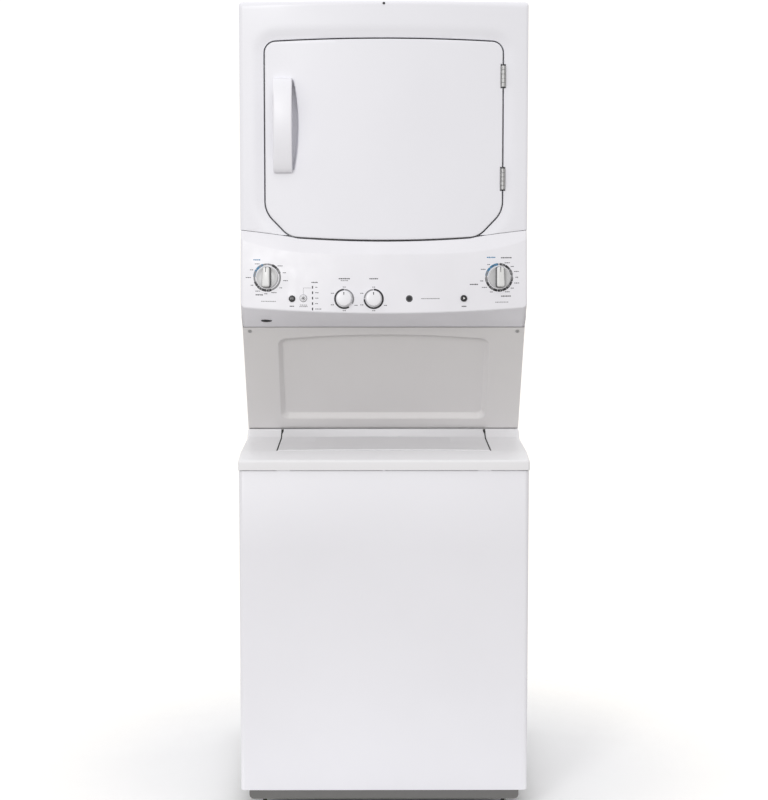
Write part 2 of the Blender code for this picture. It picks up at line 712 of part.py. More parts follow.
def door_corners():
    """Corners of the line along the middle of the gap round the door, and their radii."""
    low_half, foot_z, side_z, top_z = 0.2229, 1.3676, 1.4269, 1.8240
    fractions = (-0.75, -0.5, -0.25, 0, 0.25, 0.5, 0.75)
    bottom = [(low_half * t, foot_z - 0.0078 * (1 - t * t)) for t in fractions]
    top = [(-DOOR_HALF_WIDTH * t, top_z + 0.007 * (1 - t * t)) for t in fractions]
    corners = [(-low_half, foot_z), *bottom, (low_half, foot_z), (DOOR_HALF_WIDTH, side_z)]
    corners += [(DOOR_HALF_WIDTH, top_z), *top, (-DOOR_HALF_WIDTH, top_z), (-DOOR_HALF_WIDTH, side_z)]
    radii = [0.052, *[0] * len(bottom), 0.052, 0.060, 0.027, *[0] * len(top), 0.027, 0.060]
    return corners, radii


def door_outline(margin):
    """The door's outline, margin inside the middle of the gap round it."""
    corners, radii = door_corners()
    return rounded(inset(corners, margin), [radius and max(radius - margin, 0.003) for radius in radii])


def parting_z(x):
    """Height of the line where the front panel, or the door, meets the console."""
    under_door = 1.3575 + 0.0073 * min(abs(x) / 0.207, 1) ** 2
    beside = max(abs(x) - 0.207, 0) / (HALF_WIDTH - 0.207)
    return under_door + 0.0187 * beside ** 0.75


def across(half_width):
    """Places from one side to the other at which the console and its neighbours are sampled."""
    right = [*CONSOLE_STATIONS, half_width]
    return [-x for x in reversed(right[1:])] + right


def make_front_panel():
    t = 0.0015
    seam = [(x, parting_z(x) + 0.0006) for x in across(HALF_WIDTH)]
    edge = 0.009
    top = rounded([(HALF_WIDTH, DRYER_TOP_Z), (-HALF_WIDTH, DRYER_TOP_Z), (0, 0)], [edge, edge, 0])[:-1]
    outline = [*seam, *top]
    panel = bowed_prism("dryer_front_panel", outline, front_y, lambda x: PANEL_BACK_Y, "white_enamel")
    hollow = [(x * (1 - t / HALF_WIDTH), z + t) for x, z in seam]
    hollow += [(HALF_WIDTH - t, DRYER_TOP_Z - 0.003), (-HALF_WIDTH + t, DRYER_TOP_Z - 0.003)]
    space = bowed_prism("panel_space", hollow, lambda x: front_y(x) + t, lambda x: -0.24)
    keep = bowed_prism("door_wall", door_outline(-DOOR_GAP / 2 - t), lambda x: -0.40, lambda x: -0.20)
    cut(space, keep)
    hole = bowed_prism("door_hole", door_outline(-DOOR_GAP / 2), lambda x: -0.40, lambda x: -0.20)
    under = box("under_door", (-0.218, -0.40, 1.34), (0.218, -0.20, 1.380))
    cut(panel, space, hole, under)
    cut(panel, *hinge_notches("panel", DOOR_HALF_WIDTH - 0.001, DOOR_HALF_WIDTH + HINGE_NOTCH))


def hinge_notches(owner, low_x, high_x):
    """Cutters that make room for the hinge barrels in the edge of the door or of its frame."""
    half = HINGE_HALF_HEIGHT + 0.0015
    return [
        box(f"{owner}_notch_{name}", (low_x, -0.310, z - half), (high_x, -0.2835, z + half))
        for name, z in HINGE_LEVELS.items()
    ]


def make_bulkhead():
    inner = rounded_box_outline(0.2206, 1.4215, 1.7690, 0.045)
    outer = inset(inner, -0.0015)
    plate_front = PANEL_BACK_Y + 0.001
    plate_back = plate_front + SHEET
    outline = rectangle(0.3384, 1.290, 1.902)
    plate = prism("dryer_bulkhead", outline, plate_front, plate_back, material="galvanised")
    unite(plate, prism("throat_collar", outer, plate_front + GAP, -0.214))
    cut(plate, prism("throat", inner, -0.30, -0.20))
    cut(plate, box("filter_slot", (-0.134, -0.2515, 1.380), (0.134, -0.2325, 1.435)))


def make_lint_filter():
    low, high = 1.302, 1.4235
    front, back = -0.2485, -0.2355
    lint = box("lint_filter", (-0.130, front, low), (0.130, back, high), "white_plastic")
    cut(lint, box("filter_pocket", (-0.126, front + 0.002, low + 0.004), (0.126, back - 0.002, high + 0.02)))


def make_base_pan():
    low, high = STAND_TOP_Z + 0.0033, 1.1665
    pan = box("dryer_base_pan", (-0.3384, -0.2245, low), (0.3384, 0.3635, high), "galvanised")
    cut(pan, box("pan_space", (-0.3372, -0.2233, low + SHEET), (0.3372, 0.3623, high + 0.01)))


# Console and controls -----------------------------------------------------------------------
def console_low_z(x):
    return 1.190 + 0.012 * (x / CONSOLE_HALF_WIDTH) ** 2


def console_y(x, z):
    """Y of the console's main face, between its crease and its lower edge."""
    slope = (CONSOLE_OUT - CREASE_OUT) / (CONSOLE_CREASE_Z - 1.195)
    return front_y(x) - CREASE_OUT - slope * (CONSOLE_CREASE_Z - z)


def console_normal(x, z):
    """Outward normal of the console's main face."""
    step = 0.001
    slope_x = (console_y(x + step, z) - console_y(x - step, z)) / (2 * step)
    slope_z = (console_y(x, z + step) - console_y(x, z - step)) / (2 * step)
    return Vector((slope_x, -1.0, slope_z)).normalized()


def console_section(x, t):
    """The console's section at x, or for t above 0 the space that walls of t leave in it."""
    front, top, low = front_y(x), parting_z(x) - 0.0003, console_low_z(x)
    low_front = console_y(x, low)
    if t:
        points = [(-0.20, top - t), (front + t, top - t), (front - CREASE_OUT + t, CONSOLE_CREASE_Z)]
        points += [(low_front + t, low + t), (PANEL_BACK_Y, 1.1758), (-0.20, 1.1758)]
    else:
        points = [(PANEL_BACK_Y, top), (front, top), (front - CREASE_OUT, CONSOLE_CREASE_Z)]
        points += [(low_front, low + 0.004), (low_front + 0.003, low), (-0.2265, STAND_TOP_Z + 0.0005)]
        points += [(-0.2265, STAND_TOP_Z + 0.0035), (PANEL_BACK_Y, 1.1755)]
    return [(x, y, z) for y, z in points]




def on_console(x, z):
    """Where a control sits on the face, and the turn that takes its own +Z along the normal."""
    origin = Vector((x, console_y(x, z), z))
    outwards = console_normal(x, z)
    upwards = (Vector((0, 0, 1)) - outwards * outwards.z).normalized()
    turn = Matrix((upwards.cross(outwards), upwards, outwards)).transposed().to_euler()
    return origin, turn


def make_bumper(name, grow, material=None):
    bm = bmesh.new()
    half = Vector((0.01325 + grow, 0.0045 + grow, 0.0030 + grow))
    bmesh.ops.create_uvsphere(bm, u_segments=12, v_segments=6, radius=1.0, matrix=Matrix.Diagonal((*half, 1)))
    return finish_mesh(name, bm, material, BUMPER_CENTRE, (math.radians(27), 0, 0), smooth=True)


def make_console():
    console = loft("console", [console_section(x, 0) for x in across(CONSOLE_HALF_WIDTH)], "white_plastic")
    inner = across(CONSOLE_HALF_WIDTH - PLASTIC)
    cut(console, loft("console_space", [console_section(x, PLASTIC) for x in inner]))
    for name, (x, dial) in KNOBS.items():
        origin, turn = on_console(x, dial["z"])
        cut(console, cylinder(f"{name}_hole", 0.0042, -0.02, 0.02, origin=origin, turn=turn, steps=12))
    for name, (x, z, _) in BUTTONS.items():
        origin, turn = on_console(x, z)
        cut(console, cylinder(f"{name}_hole", 0.0082, -0.02, 0.02, origin=origin, turn=turn, steps=16))
    cut(console, make_bumper("bumper_hole", 0.0008))
    make_bumper("console_bumper", 0.0, "dark_plastic")


def make_knobs():
    for name, (x, dial) in KNOBS.items():
        origin, turn = on_console(x, dial["z"])
        skirt, height = dial["skirt"], dial["height"]
        clear = 0.0012 if dial is CYCLE_DIAL else 0.0008
        shaft = [(skirt, clear), (0.0033, clear), (0.0033, -0.012), (0, -0.012)]
        profile = [(0, height), (skirt - 0.002, height), (skirt, height - 0.002), *shaft]
        knob = turned(name, profile, "white_plastic", origin=origin, turn=turn, steps=24)
        if dial is CYCLE_DIAL:
            low, high = (-0.0105, -0.0245, 0.004), (0.0105, 0.0245, GRIP_HEIGHT)
            unite(knob, box(f"{name}_grip", low, high, None, origin, turn, bevel=0.003))


def make_buttons():
    for name, (x, z, material) in BUTTONS.items():
        origin, turn = on_console(x, z)
        flange = [(0.0075, -0.0034), (0.0098, -0.0034), (0.0098, -0.0050), (0, -0.0050)]
        profile = [(0, 0.0040), (0.0066, 0.0036), (0.0075, 0.0028), *flange]
        turned(name, profile, material, origin=origin, turn=turn, steps=16)


# Door ---------------------------------------------------------------------------------------
def make_door():
    outline = door_outline(DOOR_GAP / 2)
    door = bowed_prism(
        "door_outer", outline, front_y, lambda x: DOOR_BACK_Y, "white_enamel", DOOR_AXIS, shell=SHEET
    )
    cut(door, *hinge_notches("door", DOOR_HALF_WIDTH - HINGE_NOTCH, DOOR_HALF_WIDTH + 0.001))
    front, back = DOOR_BACK_Y + GAP - DOOR_AXIS.y, DOOR_BACK_Y + GAP + 0.0015 - DOOR_AXIS.y
    rim = [(x - DOOR_AXIS.x, z - DOOR_AXIS.z) for x, z in door_outline(0.0045)]
    liner = prism("door_liner", rim, front, back, material="white_plastic", origin=DOOR_AXIS)
    unite(liner, liner_pan())


def liner_pan():
    """The liner's raised middle, which reaches a little way into the throat."""
    return prism("liner_pan", rounded_box_outline(0.1950, 1.447, 1.744, 0.035), DOOR_BACK_Y + 0.0015, -0.2570)


def make_handle():
    """An arched pull bar, whose ends rest on the door and whose middle leaves room for fingers."""
    left, right = HANDLE_X
    low, high = HANDLE_Z
    steps = 12
    sections = []
    for index in range(steps + 1):
        t = index / steps
        z = low + (high - low) * t
        arch = math.sin(math.pi * t) ** 0.6
        gap_behind = max(0.0, min(t, 1 - t) - 0.12) / 0.38
        lift = 0.019 * math.sin(math.pi / 2 * gap_behind) ** 0.6 if gap_behind else GAP
        left_y, right_y = front_y(left), front_y(right)
        out = 0.010 + 0.026 * arch
        edge = 0.005
        sections.append([
            (left, left_y - lift, z),
            (right, right_y - lift, z),
            (right, right_y - out + edge, z),
            (right - edge, right_y - out, z),
            (left + edge, left_y - out - 0.002, z),
            (left, left_y - out + edge, z),
        ])
    loft("door_handle", sections, "white_plastic", DOOR_AXIS)


def make_hinges():
    """Five-knuckle hinges: three knuckles and the pin on the frame, two knuckles on the door."""
    bore, pin, space = 0.0025, 0.0018, GAP / 2
    tall = 2 * HINGE_HALF_HEIGHT / 5
    for name, level in HINGE_LEVELS.items():
        centre = Vector((DOOR_AXIS.x, DOOR_AXIS.y, level))
        half = HINGE_HALF_HEIGHT
        spans = [(tall * i - half + space, tall * (i + 1) - half - space) for i in range(5)]
        low, high = (0.0029, 0.0068, -half), (0.018, 0.0082, half)
        bracket = box(f"{name}_hinge_bracket", low, high, "steel", centre)
        leaf = box(f"{name}_hinge_leaf", (-0.020, 0.0050, -half), (-0.0029, 0.0064, half), "steel", centre)
        unite(bracket, cylinder(f"{name}_pin", pin, -half, half, origin=centre, steps=8))
        for index, (low, high) in enumerate(spans):
            knuckle = cylinder(f"{name}_knuckle_{index}", KNUCKLE_RADIUS, low, high, origin=centre, steps=10)
            owner, side = (leaf, -1) if index % 2 else (bracket, 1)
            reach = sorted((side * 0.0024, side * 0.0046))
            deep = 0.0064 if index % 2 else 0.0082
            tab = box(f"{name}_tab_{index}", (reach[0], 0.0, low), (reach[1], deep, high), None, centre)
            unite(owner, knuckle, tab)
        hole = cylinder(f"{name}_bore", bore, -half - 0.01, half + 0.01, origin=centre, steps=8)
        cut(leaf, hole)


# Dryer works --------------------------------------------------------------------------------
DRUM_CENTRE = Vector((0.0, 0.0, DRUM_AXIS_Z))


def make_drum():
    wall, rear, front, radius = 0.0012, DRUM_REAR_Y, DRUM_FRONT_Y, DRUM_RADIUS
    profile = [
        (0, rear),
        (radius - 0.010, rear),
        (radius, rear - 0.008),
        (radius, front),
        (0.288, front),
        (0.288, front + wall),
        (radius - wall, front + wall),
        (radius - wall, rear - 0.0085),
        (radius - 0.0105, rear - wall),
        (0, rear - wall),
    ]
    drum = turned("dryer_drum", profile, "steel", "Y", DRUM_CENTRE, steps=36)
    for index in range(3):
        angle = math.radians(90 + 120 * index)
        side = [(0.3082, 0.018), (0.290, 0.014), (0.258, 0.008)]
        baffle = side + [(out, -half) for out, half in reversed(side)]
        outline = [turn_2d(Vector(point), angle) for point in baffle]
        unite(drum, prism(f"baffle_{index}", outline, -0.180, 0.310, origin=DRUM_CENTRE))


def roller_places():
    reach = DRUM_RADIUS + ROLLER_RADIUS + GAP
    drop = reach * math.cos(ROLLER_ANGLE)
    out = reach * math.sin(ROLLER_ANGLE)
    return {
        "drum_roller_left": Vector((-out, 0.306, DRUM_AXIS_Z - drop)),
        "drum_roller_right": Vector((out, 0.306, DRUM_AXIS_Z - drop)),
    }


def make_drum_support():
    plate_y = DRUM_REAR_Y + 0.008
    outline = rectangle(0.3384, 1.1675, 1.900)
    support = prism("drum_support", outline, plate_y, plate_y + SHEET, material="galvanised")
    for name, centre in roller_places().items():
        axle = (centre.x, 0, centre.z)
        stub = cylinder(f"{name}_stub", 0.005, 0.288, plate_y + GAP, "Y", origin=axle, steps=12)
        unite(support, stub)
        profile = [(ROLLER_RADIUS, 0.012), (ROLLER_RADIUS, -0.012), (0.0057, -0.012), (0.0057, 0.012)]
        turned(name, profile, "rubber", "Y", centre, steps=24, ring=True)
    cut(support, cylinder("duct_hole_support", 0.0520, 0.34, 0.37, "Y", origin=(DUCT_X, 0, DUCT_Z), steps=24))


def make_dryer_motor():
    floor = STAND_TOP_Z + 0.0033 + SHEET + GAP
    profile = [(0.050, 0.060), (0.060, 0.052), (0.060, -0.072)]
    profile += [(0.050, -0.080), (0.0072, -0.080), (0.0072, 0.060)]
    motor = turned("dryer_motor", profile, "dark_plastic", "Y", (MOTOR_X, 0, MOTOR_Z), steps=24, ring=True)
    unite(motor, box("motor_cradle", (MOTOR_X - 0.050, -0.055, floor), (MOTOR_X + 0.050, 0.035, 1.212)))


def make_blower():
    """The wheel with the motor shaft and belt pulley that turn with it, and the housing round it."""
    axis = (MOTOR_X, 0, MOTOR_Z)
    profile = [(0, 0.165), (0.072, 0.165), (0.072, 0.162), (0.020, 0.161), (0.018, 0.115), (0.006, 0.112)]
    profile += [(0.006, -0.090), (SHAFT_PULLEY_RADIUS, -0.090), (SHAFT_PULLEY_RADIUS, -0.112), (0, -0.112)]
    wheel = turned("blower_wheel", profile, "galvanised", "Y", axis, steps=16)
    for index in range(8):
        blade = [(0.054, -0.0012), (0.072, 0.0040), (0.071, 0.0060), (0.054, 0.0012)]
        outline = [turn_2d(Vector(point), math.tau * index / 8) for point in blade]
        unite(wheel, prism(f"blade_{index}", outline, 0.112, 0.1635, origin=axis))
    rim = [(0.0735, 0.115), (0.0735, 0.112), (0.0530, 0.112), (0.0530, 0.115)]
    unite(wheel, turned("blower_rim", rim, None, "Y", axis, steps=16, ring=True))
    front, back, t = 0.100, 0.172, 0.002
    housing = cylinder(
        "blower_housing", 0.085, front, back, "Y", origin=axis, steps=32, material="galvanised"
    )
    low, high = 1.1705, 1.2705
    unite(housing, box("plenum", (0.003, front, low), (MOTOR_X, back, high)))
    cut(housing, cylinder("scroll_space", 0.085 - t, front + t, back - t, "Y", origin=axis, steps=32))
    cut(housing, box("plenum_space", (0.003 + t, front + t, low + t), (MOTOR_X, back - t, high - t)))
    cut(housing, cylinder("blower_intake", 0.045, 0.09, 0.11, "Y", origin=axis, steps=24))
    cut(housing, cylinder("plenum_outlet", 0.0450, 0.16, 0.18, "Y", origin=(DUCT_X, 0, DUCT_Z), steps=24))


def make_exhaust():
    profile = [
        (DUCT_RADIUS, OVERALL_REAR_Y),
        (DUCT_RADIUS, 0.1723),
        (DUCT_RADIUS - 0.0012, 0.1723),
        (DUCT_RADIUS - 0.0012, OVERALL_REAR_Y),
    ]
    turned("exhaust_duct", profile, "galvanised", "Y", (DUCT_X, 0, DUCT_Z), steps=24, ring=True)


def make_terminal_cover():
    """The cover over the power terminals, open towards the cabinet, with a cord gland below."""
    front = REAR_Y + GAP
    cover = box("terminal_cover", (-0.270, front, 1.190), (-0.170, front + 0.022, 1.260), "galvanised")
    cut(cover, box("terminal_space", (-0.2688, front - 0.01, 1.1912), (-0.1712, front + 0.0208, 1.2588)))
    cut(cover, cylinder("cord_gland", 0.0070, 1.18, 1.20, origin=(-0.220, front + 0.011, 0), steps=16))


def make_washer():
    make_base()
    make_feet()
    make_washer_cabinet()
    make_top_cover()
    make_lid()
    make_tub()
    make_basket()
    make_agitator()
    make_washer_drive()
    make_water_parts()
    make_suspension()


def make_dryer():
    make_dryer_cabinet()
    make_dryer_top()
    make_front_panel()
    make_bulkhead()
    make_lint_filter()
    make_base_pan()
    make_console()
    make_knobs()
    make_buttons()
    make_door()
    make_handle()
    make_hinges()
    make_drum()
    make_drum_support()
    belt_circles = [(0, DRUM_AXIS_Z, DRUM_RADIUS), (MOTOR_X, MOTOR_Z, SHAFT_PULLEY_RADIUS)]
    make_belt("drum_belt", belt_circles, -0.106, -0.096, "Y", 36)
    make_dryer_motor()
    make_blower()
    make_exhaust()
    make_terminal_cover()


clear_scene()
PARTS = make_collection("washer_dryer_stack")
CUTTERS = make_collection("cutters")
make_washer()
make_stand()
make_splash()
make_dryer()
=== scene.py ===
"""Looks of the stacked laundry centre: fine skins, controls, printed marks and finishes on the frame."""

import json
import math

import bmesh
import bpy
from mathutils import Euler, Matrix, Vector


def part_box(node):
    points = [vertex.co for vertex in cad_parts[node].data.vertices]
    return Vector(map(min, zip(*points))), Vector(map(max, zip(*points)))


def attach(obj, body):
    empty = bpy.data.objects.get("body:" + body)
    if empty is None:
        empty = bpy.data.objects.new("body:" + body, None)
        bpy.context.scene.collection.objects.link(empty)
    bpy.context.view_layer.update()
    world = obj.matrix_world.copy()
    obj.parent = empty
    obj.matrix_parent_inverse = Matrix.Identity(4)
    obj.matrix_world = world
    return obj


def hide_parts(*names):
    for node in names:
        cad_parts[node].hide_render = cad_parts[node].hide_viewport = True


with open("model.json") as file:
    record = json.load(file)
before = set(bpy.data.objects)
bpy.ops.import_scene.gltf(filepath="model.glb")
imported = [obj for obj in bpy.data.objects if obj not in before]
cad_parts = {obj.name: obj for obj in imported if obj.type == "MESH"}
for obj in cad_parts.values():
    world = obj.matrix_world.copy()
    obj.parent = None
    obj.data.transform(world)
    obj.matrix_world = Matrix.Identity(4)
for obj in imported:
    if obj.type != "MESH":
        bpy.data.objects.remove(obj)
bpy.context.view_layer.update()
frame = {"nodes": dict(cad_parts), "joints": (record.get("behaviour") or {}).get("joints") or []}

# Each moving body's own joint.
JOINTS = {joint["child"]: joint for joint in frame["joints"]}

FORWARDS = (0.0, -1.0, 0.0)
UPWARDS = (0.0, 0.0, 1.0)
# The thickness of a skin, and the way its outer side faces.
FRONT_SHEET = (0.0012, FORWARDS)
TOP_SHEET = (0.0012, UPWARDS)

# Light and camera
ROOM_ABOVE = 0.99
ROOM_BELOW = 0.45
ROOM_SEEN = 1.12
KEY_PLACE, KEY_TARGET = (-3.9, -9.6, 4.2), (0.0, 0.0, 1.1)
KEY_SIZE = (2.2, 2.6)
KEY_POWER = 290.0
CAMERA_PLACE = (-0.021, -4.9985, 1.507)
CAMERA_PITCH = 5.70
CAMERA_YAW = -0.261
CAMERA_LENS = 89.4
CAMERA_SHIFT_Y = -0.03

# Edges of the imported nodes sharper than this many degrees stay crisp.
SHARP_ANGLE = 33

# Sizes of the frame, in metres
HALF_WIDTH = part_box("dryer_cabinet")[1].x
REAR_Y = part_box("dryer_cabinet")[1].y
DRYER_TOP_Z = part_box("dryer_front_panel")[1].z
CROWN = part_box("dryer_top_cover")[1].z - DRYER_TOP_Z
DRYER_SIDE_Y = -0.2805
DRYER_BOW = DRYER_SIDE_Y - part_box("dryer_front_panel")[0].y
PANEL_BACK_Y = -0.262
DOOR_BACK_Y = -0.268
DOOR_GAP = 0.0036
DOOR_FOOT_HALF = 0.207
HINGE_CLEARANCE = 0.0015
RIM_ROLL = 0.009
TOP_CORNER = 0.009
DOOR_HALF_WIDTH = JOINTS["door"]["pos_m"][0]
KNUCKLE_RADIUS = 0.0041
HINGE_NOTCH = KNUCKLE_RADIUS + 0.0004
CONSOLE_HALF_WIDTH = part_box("console")[1].x
# How far the console's face stands out of the front's bow, at its crease and at its foot.
CREASE_OUT, CREASE_LEVEL = 0.012, 1.330
CONSOLE_OUT, FACE_FOOT_LEVEL = 0.030, 1.195
CONSOLE_FOOT_Y = -0.2265
STAND_TOP_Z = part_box("stand_frame")[1].z
COVER_LOW, COVER_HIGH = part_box("washer_top_cover")
COVER_FLAT_Z = 0.859
LID_HALF_WIDTH = 0.254
LID_AXIS = Vector(JOINTS["lid"]["pos_m"])
WELL_HALF_WIDTH = 0.257
WELL_FRONT_Y, WELL_REAR_Y = -0.3005, -0.0185
WELL_FLOOR_Z = 0.8435
SPLASH_FOOT = Vector((0.0, -0.0235, 0.879))
SPLASH_TILT = math.pi - math.atan2(4, 3)
SPLASH_LENGTH = 0.3363
HINGE_SPANS = [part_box(name) for name in ("lower_hinge_leaf", "upper_hinge_leaf")]
HINGE_LEVELS = [(low.z + high.z) / 2 for low, high in HINGE_SPANS]
HINGE_HALF_HEIGHT = (HINGE_SPANS[0][1].z - HINGE_SPANS[0][0].z) / 2
HANDLE_LOW, HANDLE_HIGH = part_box("door_handle")


# Mesh tools
def smooth_step(value):
    t = min(max(value, 0.0), 1.0)
    return t * t * (3 - 2 * t)


def turn_2d(vector, angle):
    c, s = math.cos(angle), math.sin(angle)
    return Vector((c * vector.x - s * vector.y, s * vector.x + c * vector.y))


def inset(corners, margin):
    """The anticlockwise outline with every side moved inwards by margin."""
    moved = []
    for index, corner in enumerate(corners):
        here = Vector(corner)
        arriving = (here - Vector(corners[index - 1])).normalized()
        leaving = (Vector(corners[(index + 1) % len(corners)]) - here).normalized()
        first, second = Vector((-arriving.y, arriving.x)), Vector((-leaving.y, leaving.x))
        moved.append(here + (first + second) * margin / (1 + first.dot(second)))
    return moved


def rounded(corners, radii, steps=8):
    """The outline with an arc at each corner whose radius isn't zero."""
    points = []
    for index, corner in enumerate(corners):
        here, radius = Vector(corner), radii[index]
        if radius <= 0:
            points.append(here)
            continue
        before = (Vector(corners[index - 1]) - here).normalized()
        after = (Vector(corners[(index + 1) % len(corners)]) - here).normalized()
        half = before.angle(after) / 2
        centre = here + (before + after).normalized() * radius / math.sin(half)
        run = radius / math.tan(half)
        start, end = here + before * run - centre, here + after * run - centre
        sweep = start.angle_signed(end)
        points += [centre + turn_2d(start, -sweep * step / steps) for step in range(steps + 1)]
    return points


def rectangle(half_x, low, high):
    return [(-half_x, low), (half_x, low), (half_x, high), (-half_x, high)]


def circle(radius, steps, centre=(0.0, 0.0)):
    turns = [math.tau * i / steps for i in range(steps)]
    return [(centre[0] + radius * math.cos(a), centre[1] + radius * math.sin(a)) for a in turns]


def arc(centre, radius, start, end, steps):
    """Points of an arc, with its angles in degrees."""
    angles = [math.radians(start + (end - start) * i / steps) for i in range(steps + 1)]
    return [(centre[0] + radius * math.cos(a), centre[1] + radius * math.sin(a)) for a in angles]


def bridge(bm, first, second, closed=True):
    """Faces between two rows of equal count."""
    count = len(first)
    for i in range(count if closed else count - 1):
        j = (i + 1) % count
        bm.faces.new((first[i], first[j], second[j], second[i]))


def add_rows(bm, rows, closed=True):
    made = [[bm.verts.new(point) for point in row] for row in rows]
    for first, second in zip(made, made[1:]):
        bridge(bm, first, second, closed)
    return made


def walled(rows, half_x, line):
    """The rows with one more at each end, along a (y, z) line, that closes the side of the skin."""
    return [[(-half_x, y, z) for y, z in line], *rows, [(half_x, y, z) for y, z in line]]


def skin(rows, closed=False):
    """An open sheet over the rows."""
    bm = bmesh.new()
    add_rows(bm, rows, closed)
    return bm


def band(rows):
    """A closed band over rings of which the last joins the first."""
    bm = bmesh.new()
    made = add_rows(bm, rows)
    bridge(bm, made[-1], made[0])
    return bm


def solids(*stacks):
    """Closed solids, each over a stack of rings with a face on the first ring and on the last."""
    bm = bmesh.new()
    for rows in stacks:
        made = add_rows(bm, rows)
        bm.faces.new(made[0])
        bm.faces.new(made[-1])
    return bm


def at_height(outline, z):
    """The (x, y) outline as points at one height."""
    return [(x, y, z) for x, y in outline]


def raised(outline, *heights):
    return [at_height(outline, height) for height in heights]


def turned(profile, steps):
    """A solid of a profile of (radius, height) turned about +Z."""
    return solids([at_height(circle(radius, steps), height) for radius, height in profile])


def link_object(name, data):
    obj = bpy.data.objects.new(name, data)
    bpy.context.scene.collection.objects.link(obj)
    return obj


def add_object(name, bm, *materials):
    """An object in the scene from a finished bmesh, which is freed."""
    mesh = bpy.data.meshes.new(name)
    bm.to_mesh(mesh)
    bm.free()
    for material in materials:
        mesh.materials.append(material)
    return link_object(name, mesh)


def make_piece(name, bm, body, material, replaces=(), angle=32, origin=None, sheet=None):
    """A piece of the object from a mesh, riding on a body. Edges sharper than angle degrees stay crisp.
    An open skin gets a sheet: its thickness, and the way that its outer side faces. The origin is the
    matrix that places the mesh."""
    bmesh.ops.recalc_face_normals(bm, faces=bm.faces)
    if sheet:
        outwards = sum((face.normal * face.calc_area() for face in bm.faces), Vector())
        if outwards.dot(Vector(sheet[1])) < 0:
            bmesh.ops.reverse_faces(bm, faces=bm.faces)
    for face in bm.faces:
        face.smooth = True
    for edge in bm.edges:
        edge.smooth = edge.is_manifold and edge.calc_face_angle() < math.radians(angle)
    obj = add_object(name, bm, material)
    if origin:
        obj.matrix_world = origin
    if sheet:
        change = obj.modifiers.new("Sheet", "SOLIDIFY")
        change.thickness = sheet[0]
        change.offset = -1.0
    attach(obj, body)
    if replaces:
        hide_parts(*replaces)
    return obj


def cut_faces(bm, faces, cuts):
    """Cuts the faces with planes, each given as the axis it crosses and its place on that axis."""
    for axis, place in cuts:
        normal = Vector((axis == 0, axis == 1, axis == 2))
        geom = [*{v for f in faces for v in f.verts}, *{e for f in faces for e in f.edges}, *faces]
        made = bmesh.ops.bisect_plane(bm, geom=geom, plane_co=normal * place, plane_no=normal)["geom"]
        faces |= {item for item in made if isinstance(item, bmesh.types.BMFace)}


def add_box(bm, low, high):
    """A box between two opposite corners."""
    low, high = Vector(low), Vector(high)
    size = Matrix.Diagonal((*(high - low), 1.0))
    bmesh.ops.create_cube(bm, size=1.0, matrix=Matrix.Translation((low + high) / 2) @ size)


def lens(place, half_sizes, rings):
    """A flattened ball."""
    bm = bmesh.new()
    matrix = place @ Matrix.Diagonal((*half_sizes, 1.0))
    bmesh.ops.create_uvsphere(bm, u_segments=2 * rings, v_segments=rings, radius=1.0, matrix=matrix)
    return bm


def mirrored(right):
    """Stations of (x, value) from the middle to the right end, with the same on the left."""
    return [(-x, value) for x, value in reversed(right[1:])] + right


def rolled_edge(start, radius, steps):
    """Stations of (x, fall) over an edge that rolls down from start."""
    return [(start + x, radius - y) for x, y in arc((0, 0), radius, 90, 0, steps)[1:]]


# Materials
# The colour sockets of a mix node, whose names are shared with its number and vector sockets.
COLOUR_A, COLOUR_B, COLOUR_OUT = 6, 7, 2


